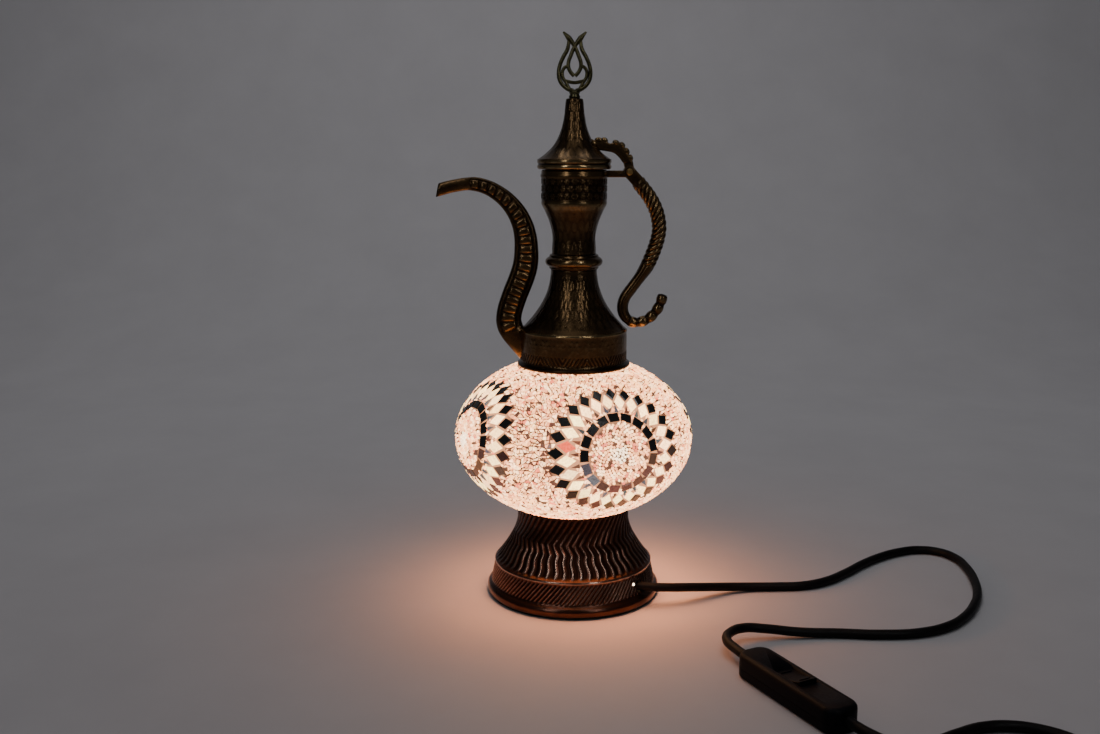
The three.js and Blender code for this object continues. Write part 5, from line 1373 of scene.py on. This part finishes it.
def relief_section(around, share, scale):
    rib = between(0.12, 0.88, 0.02, share) * (1 - math.cos(math.tau * relief_ribs * share)) / 2
    radius = scale * (lead_radius * (1.25 + 0.55 * share) - 0.7 * rib)
    across, up = squared(math.tau * around, plug_square)
    return plug_start + Vector((-share * relief_long, radius * across, radius * up)), 0.5


body_stations = [(0, 0.02), (0, 0.8), (0.012, 0.95)] + [(share, 1) for share in levels(0.03, 0.97, 0.03)]
body_stations += [(0.99, 0.975), (1, 0.93), (1, 0.02)]


def body_section(around, share, scale):
    wide = 4 * lead_radius + (plug_wide - 4 * lead_radius) * smooth(0.02, 0.78, share)
    high = plug_high * (0.85 + 0.15 * smooth(0, 0.6, share))
    grip = between(0.3, 0.72, 0.03, share) * (1 - math.cos(math.tau * grip_ribs * share)) / 2
    across, up = squared(math.tau * around, plug_square)
    side = scale * (wide / 2 - 0.5 * grip) * across
    return plug_start + Vector((-relief_long - 0.3 - share * body_long, side, scale * high / 2 * up)), 0.5


strain_relief = drawn_out("strain_relief", 40, relief_stations, relief_section)
plug_shell = drawn_out("plug_shell", 56, body_stations, body_section)
settle(strain_relief, "lamp", satin_black, "black_plastic", "plug_relief")
settle(plug_shell, "lamp", satin_black, "black_plastic", "plug_body")
dress(nickel, "plug_pin_1", "plug_pin_2")


# Coil tie: a strip of soft black plastic with rounded edges, bent round both layers of the coil. It holds
# the spare lead together by its own stiffness, as the lamp leaves the shop.
coil_centre, coil_outer, coil_pitch, coil_turns, coil_dip = Vector((228, -294, 0)), 40, 6.7, 1.875, 1.9
coil_low = 4.3
coil_high = coil_low + coil_pitch
coil_inner = coil_outer - coil_pitch * coil_turns
tie_angle, tie_half, tie_thick, tie_square, tie_gap = math.radians(135), 4, 0.8, 0.24, 0.7
tie_near, tie_far = coil_inner - lead_radius - coil_dip - tie_gap, coil_outer + lead_radius + 1
tie_low, tie_high = coil_low - lead_radius - tie_gap, coil_high + lead_radius + tie_gap
tie_section = [
    (-1, -0.3), (-1, 0.3), (-0.94, 0.5), (0.94, 0.5), (1, 0.3), (1, -0.3), (0.94, -0.5), (-0.94, -0.5),
]


def tie_place(around, along):
    wide, thick = tie_section[round(along * len(tie_section)) % len(tie_section)]
    across, up = squared(math.tau * around, tie_square)
    reach = (tie_near + tie_far) / 2 + ((tie_far - tie_near) / 2 + thick * tie_thick) * across
    height = (tie_low + tie_high) / 2 + ((tie_high - tie_low) / 2 + thick * tie_thick) * up
    outward_way = Vector((math.cos(tie_angle), math.sin(tie_angle), 0))
    along_way = Vector((-math.sin(tie_angle), math.cos(tie_angle), 0))
    return coil_centre + reach * outward_way + wide * tie_half * along_way + Vector((0, 0, height)), 0.5


coil_strap = worked_sheet("coil_strap", 96, len(tie_section), tie_place)
bpy.ops.object.shade_smooth_by_angle(angle=math.radians(50))
settle(coil_strap, "lamp", satin_black, "tie", "coil_tie")


# Lead: a round black sheathed lead of 6 mm, from the hole in the base to the inline switch, and on from the
# switch to a coil beside the lamp and the plug. It lies on the table under its own weight.
lead_facets, lying = 4, 3.1
lamp_route = [
    (40, -31.6, 13.8), (54, -33.2, 13.2), (66, -31.4, 12.2), (79, -25.5, 10), (93, -18, 7.2),
    (109, -11, 4.6), (126, -7.4, 3.3), (145, -6.4, lying), (163, -4.5, lying), (181, 4, lying),
    (199, 20, lying), (216, 38, lying), (233, 53, lying), (251, 64.5, lying), (268, 69.5, lying),
    (282, 65, lying), (290, 51, lying), (291, 31, lying), (287.5, 6, lying), (280.5, -19, lying),
    (270, -41, lying), (257, -60, lying), (240, -76, lying), (219, -85.5, lying), (194, -88, lying),
    (167, -86, lying), (142, -86.4, 4), (121, -87.4, 6.6), (107, -89.6, 8.2), (97.4, -96.6, 8.6),
    (92.8, -108, 8.6), (97.05, -122.82, 8.2), (102.04, -132.62, 8),
]
mains_route = [
    (141.36, -209.78, 8), (144.08, -215.13, 7.8), (150, -222.5, 7), (157.5, -227.3, 5.6), (168, -228.3, 4.2),
    (182, -223.5, 3.3), (198, -214.5, lying), (213, -207.5, lying), (228, -205.8, lying), (243, -210, lying),
    (256, -220.5, lying), (264.2, -235, lying), (267.6, -252, lying), (268, -270, 3.6),
    (268, -288, coil_low),
]
coil_steps, climb_turns = 102, 0.5
coil_total = 2 * coil_turns + climb_turns
for step in range(coil_steps + 1):
    turn = coil_total * step / coil_steps
    climb = smooth(0, climb_turns, turn - coil_turns)
    reach = coil_outer - coil_pitch * turn
    if turn > coil_turns:
        reach = coil_inner - coil_dip * math.sin(math.pi * min((turn - coil_turns) / climb_turns, 1))
    if turn > coil_turns + climb_turns:
        reach = coil_inner + coil_pitch * (turn - coil_turns - climb_turns)
    angle = -math.tau * turn
    across, along = coil_centre.x + reach * math.cos(angle), coil_centre.y + reach * math.sin(angle)
    mains_route.append((across, along, coil_low + coil_pitch * climb))
mains_route += [
    (216, -334, coil_high), (208, -334, 10.4), (202.7, -334, 8.95), (197, -334, 7.5), (190.7, -334, 6.9),
    (183.7, -334, 6.9),
]

sheath = mottled_finish(
    "black sheath", (0.003, 0.0025, 0.003), (0.008, 0.0065, 0.0075), 260.0, 0.40, 0.55, 0.0001,
    Specular_IOR_Level=0.12)
inner_route = [
    (39.7, -31.6, 13.8), (28, -29, 14.4), (12, -20, 17), (3, -8, 24), (0, -1, 31), (0, 0, 37), (0, 0, 59.6),
]
inner_radius = 2.4
lamp_lead = bent_rod("lamp_lead", lamp_route, lead_radius, lead_facets)
mains_lead = bent_rod("mains_lead", mains_route, lead_radius, lead_facets)
inner_lead = bent_rod("inner_lead", inner_route, inner_radius, lead_facets)
settle(lamp_lead, "lamp", sheath, "cord", "cord_lamp")
settle(mains_lead, "lamp", sheath, "cord", "cord_mains", "cord_coil", "cord_tail")
settle(inner_lead, "lamp", sheath, "cord", "inner_cable")
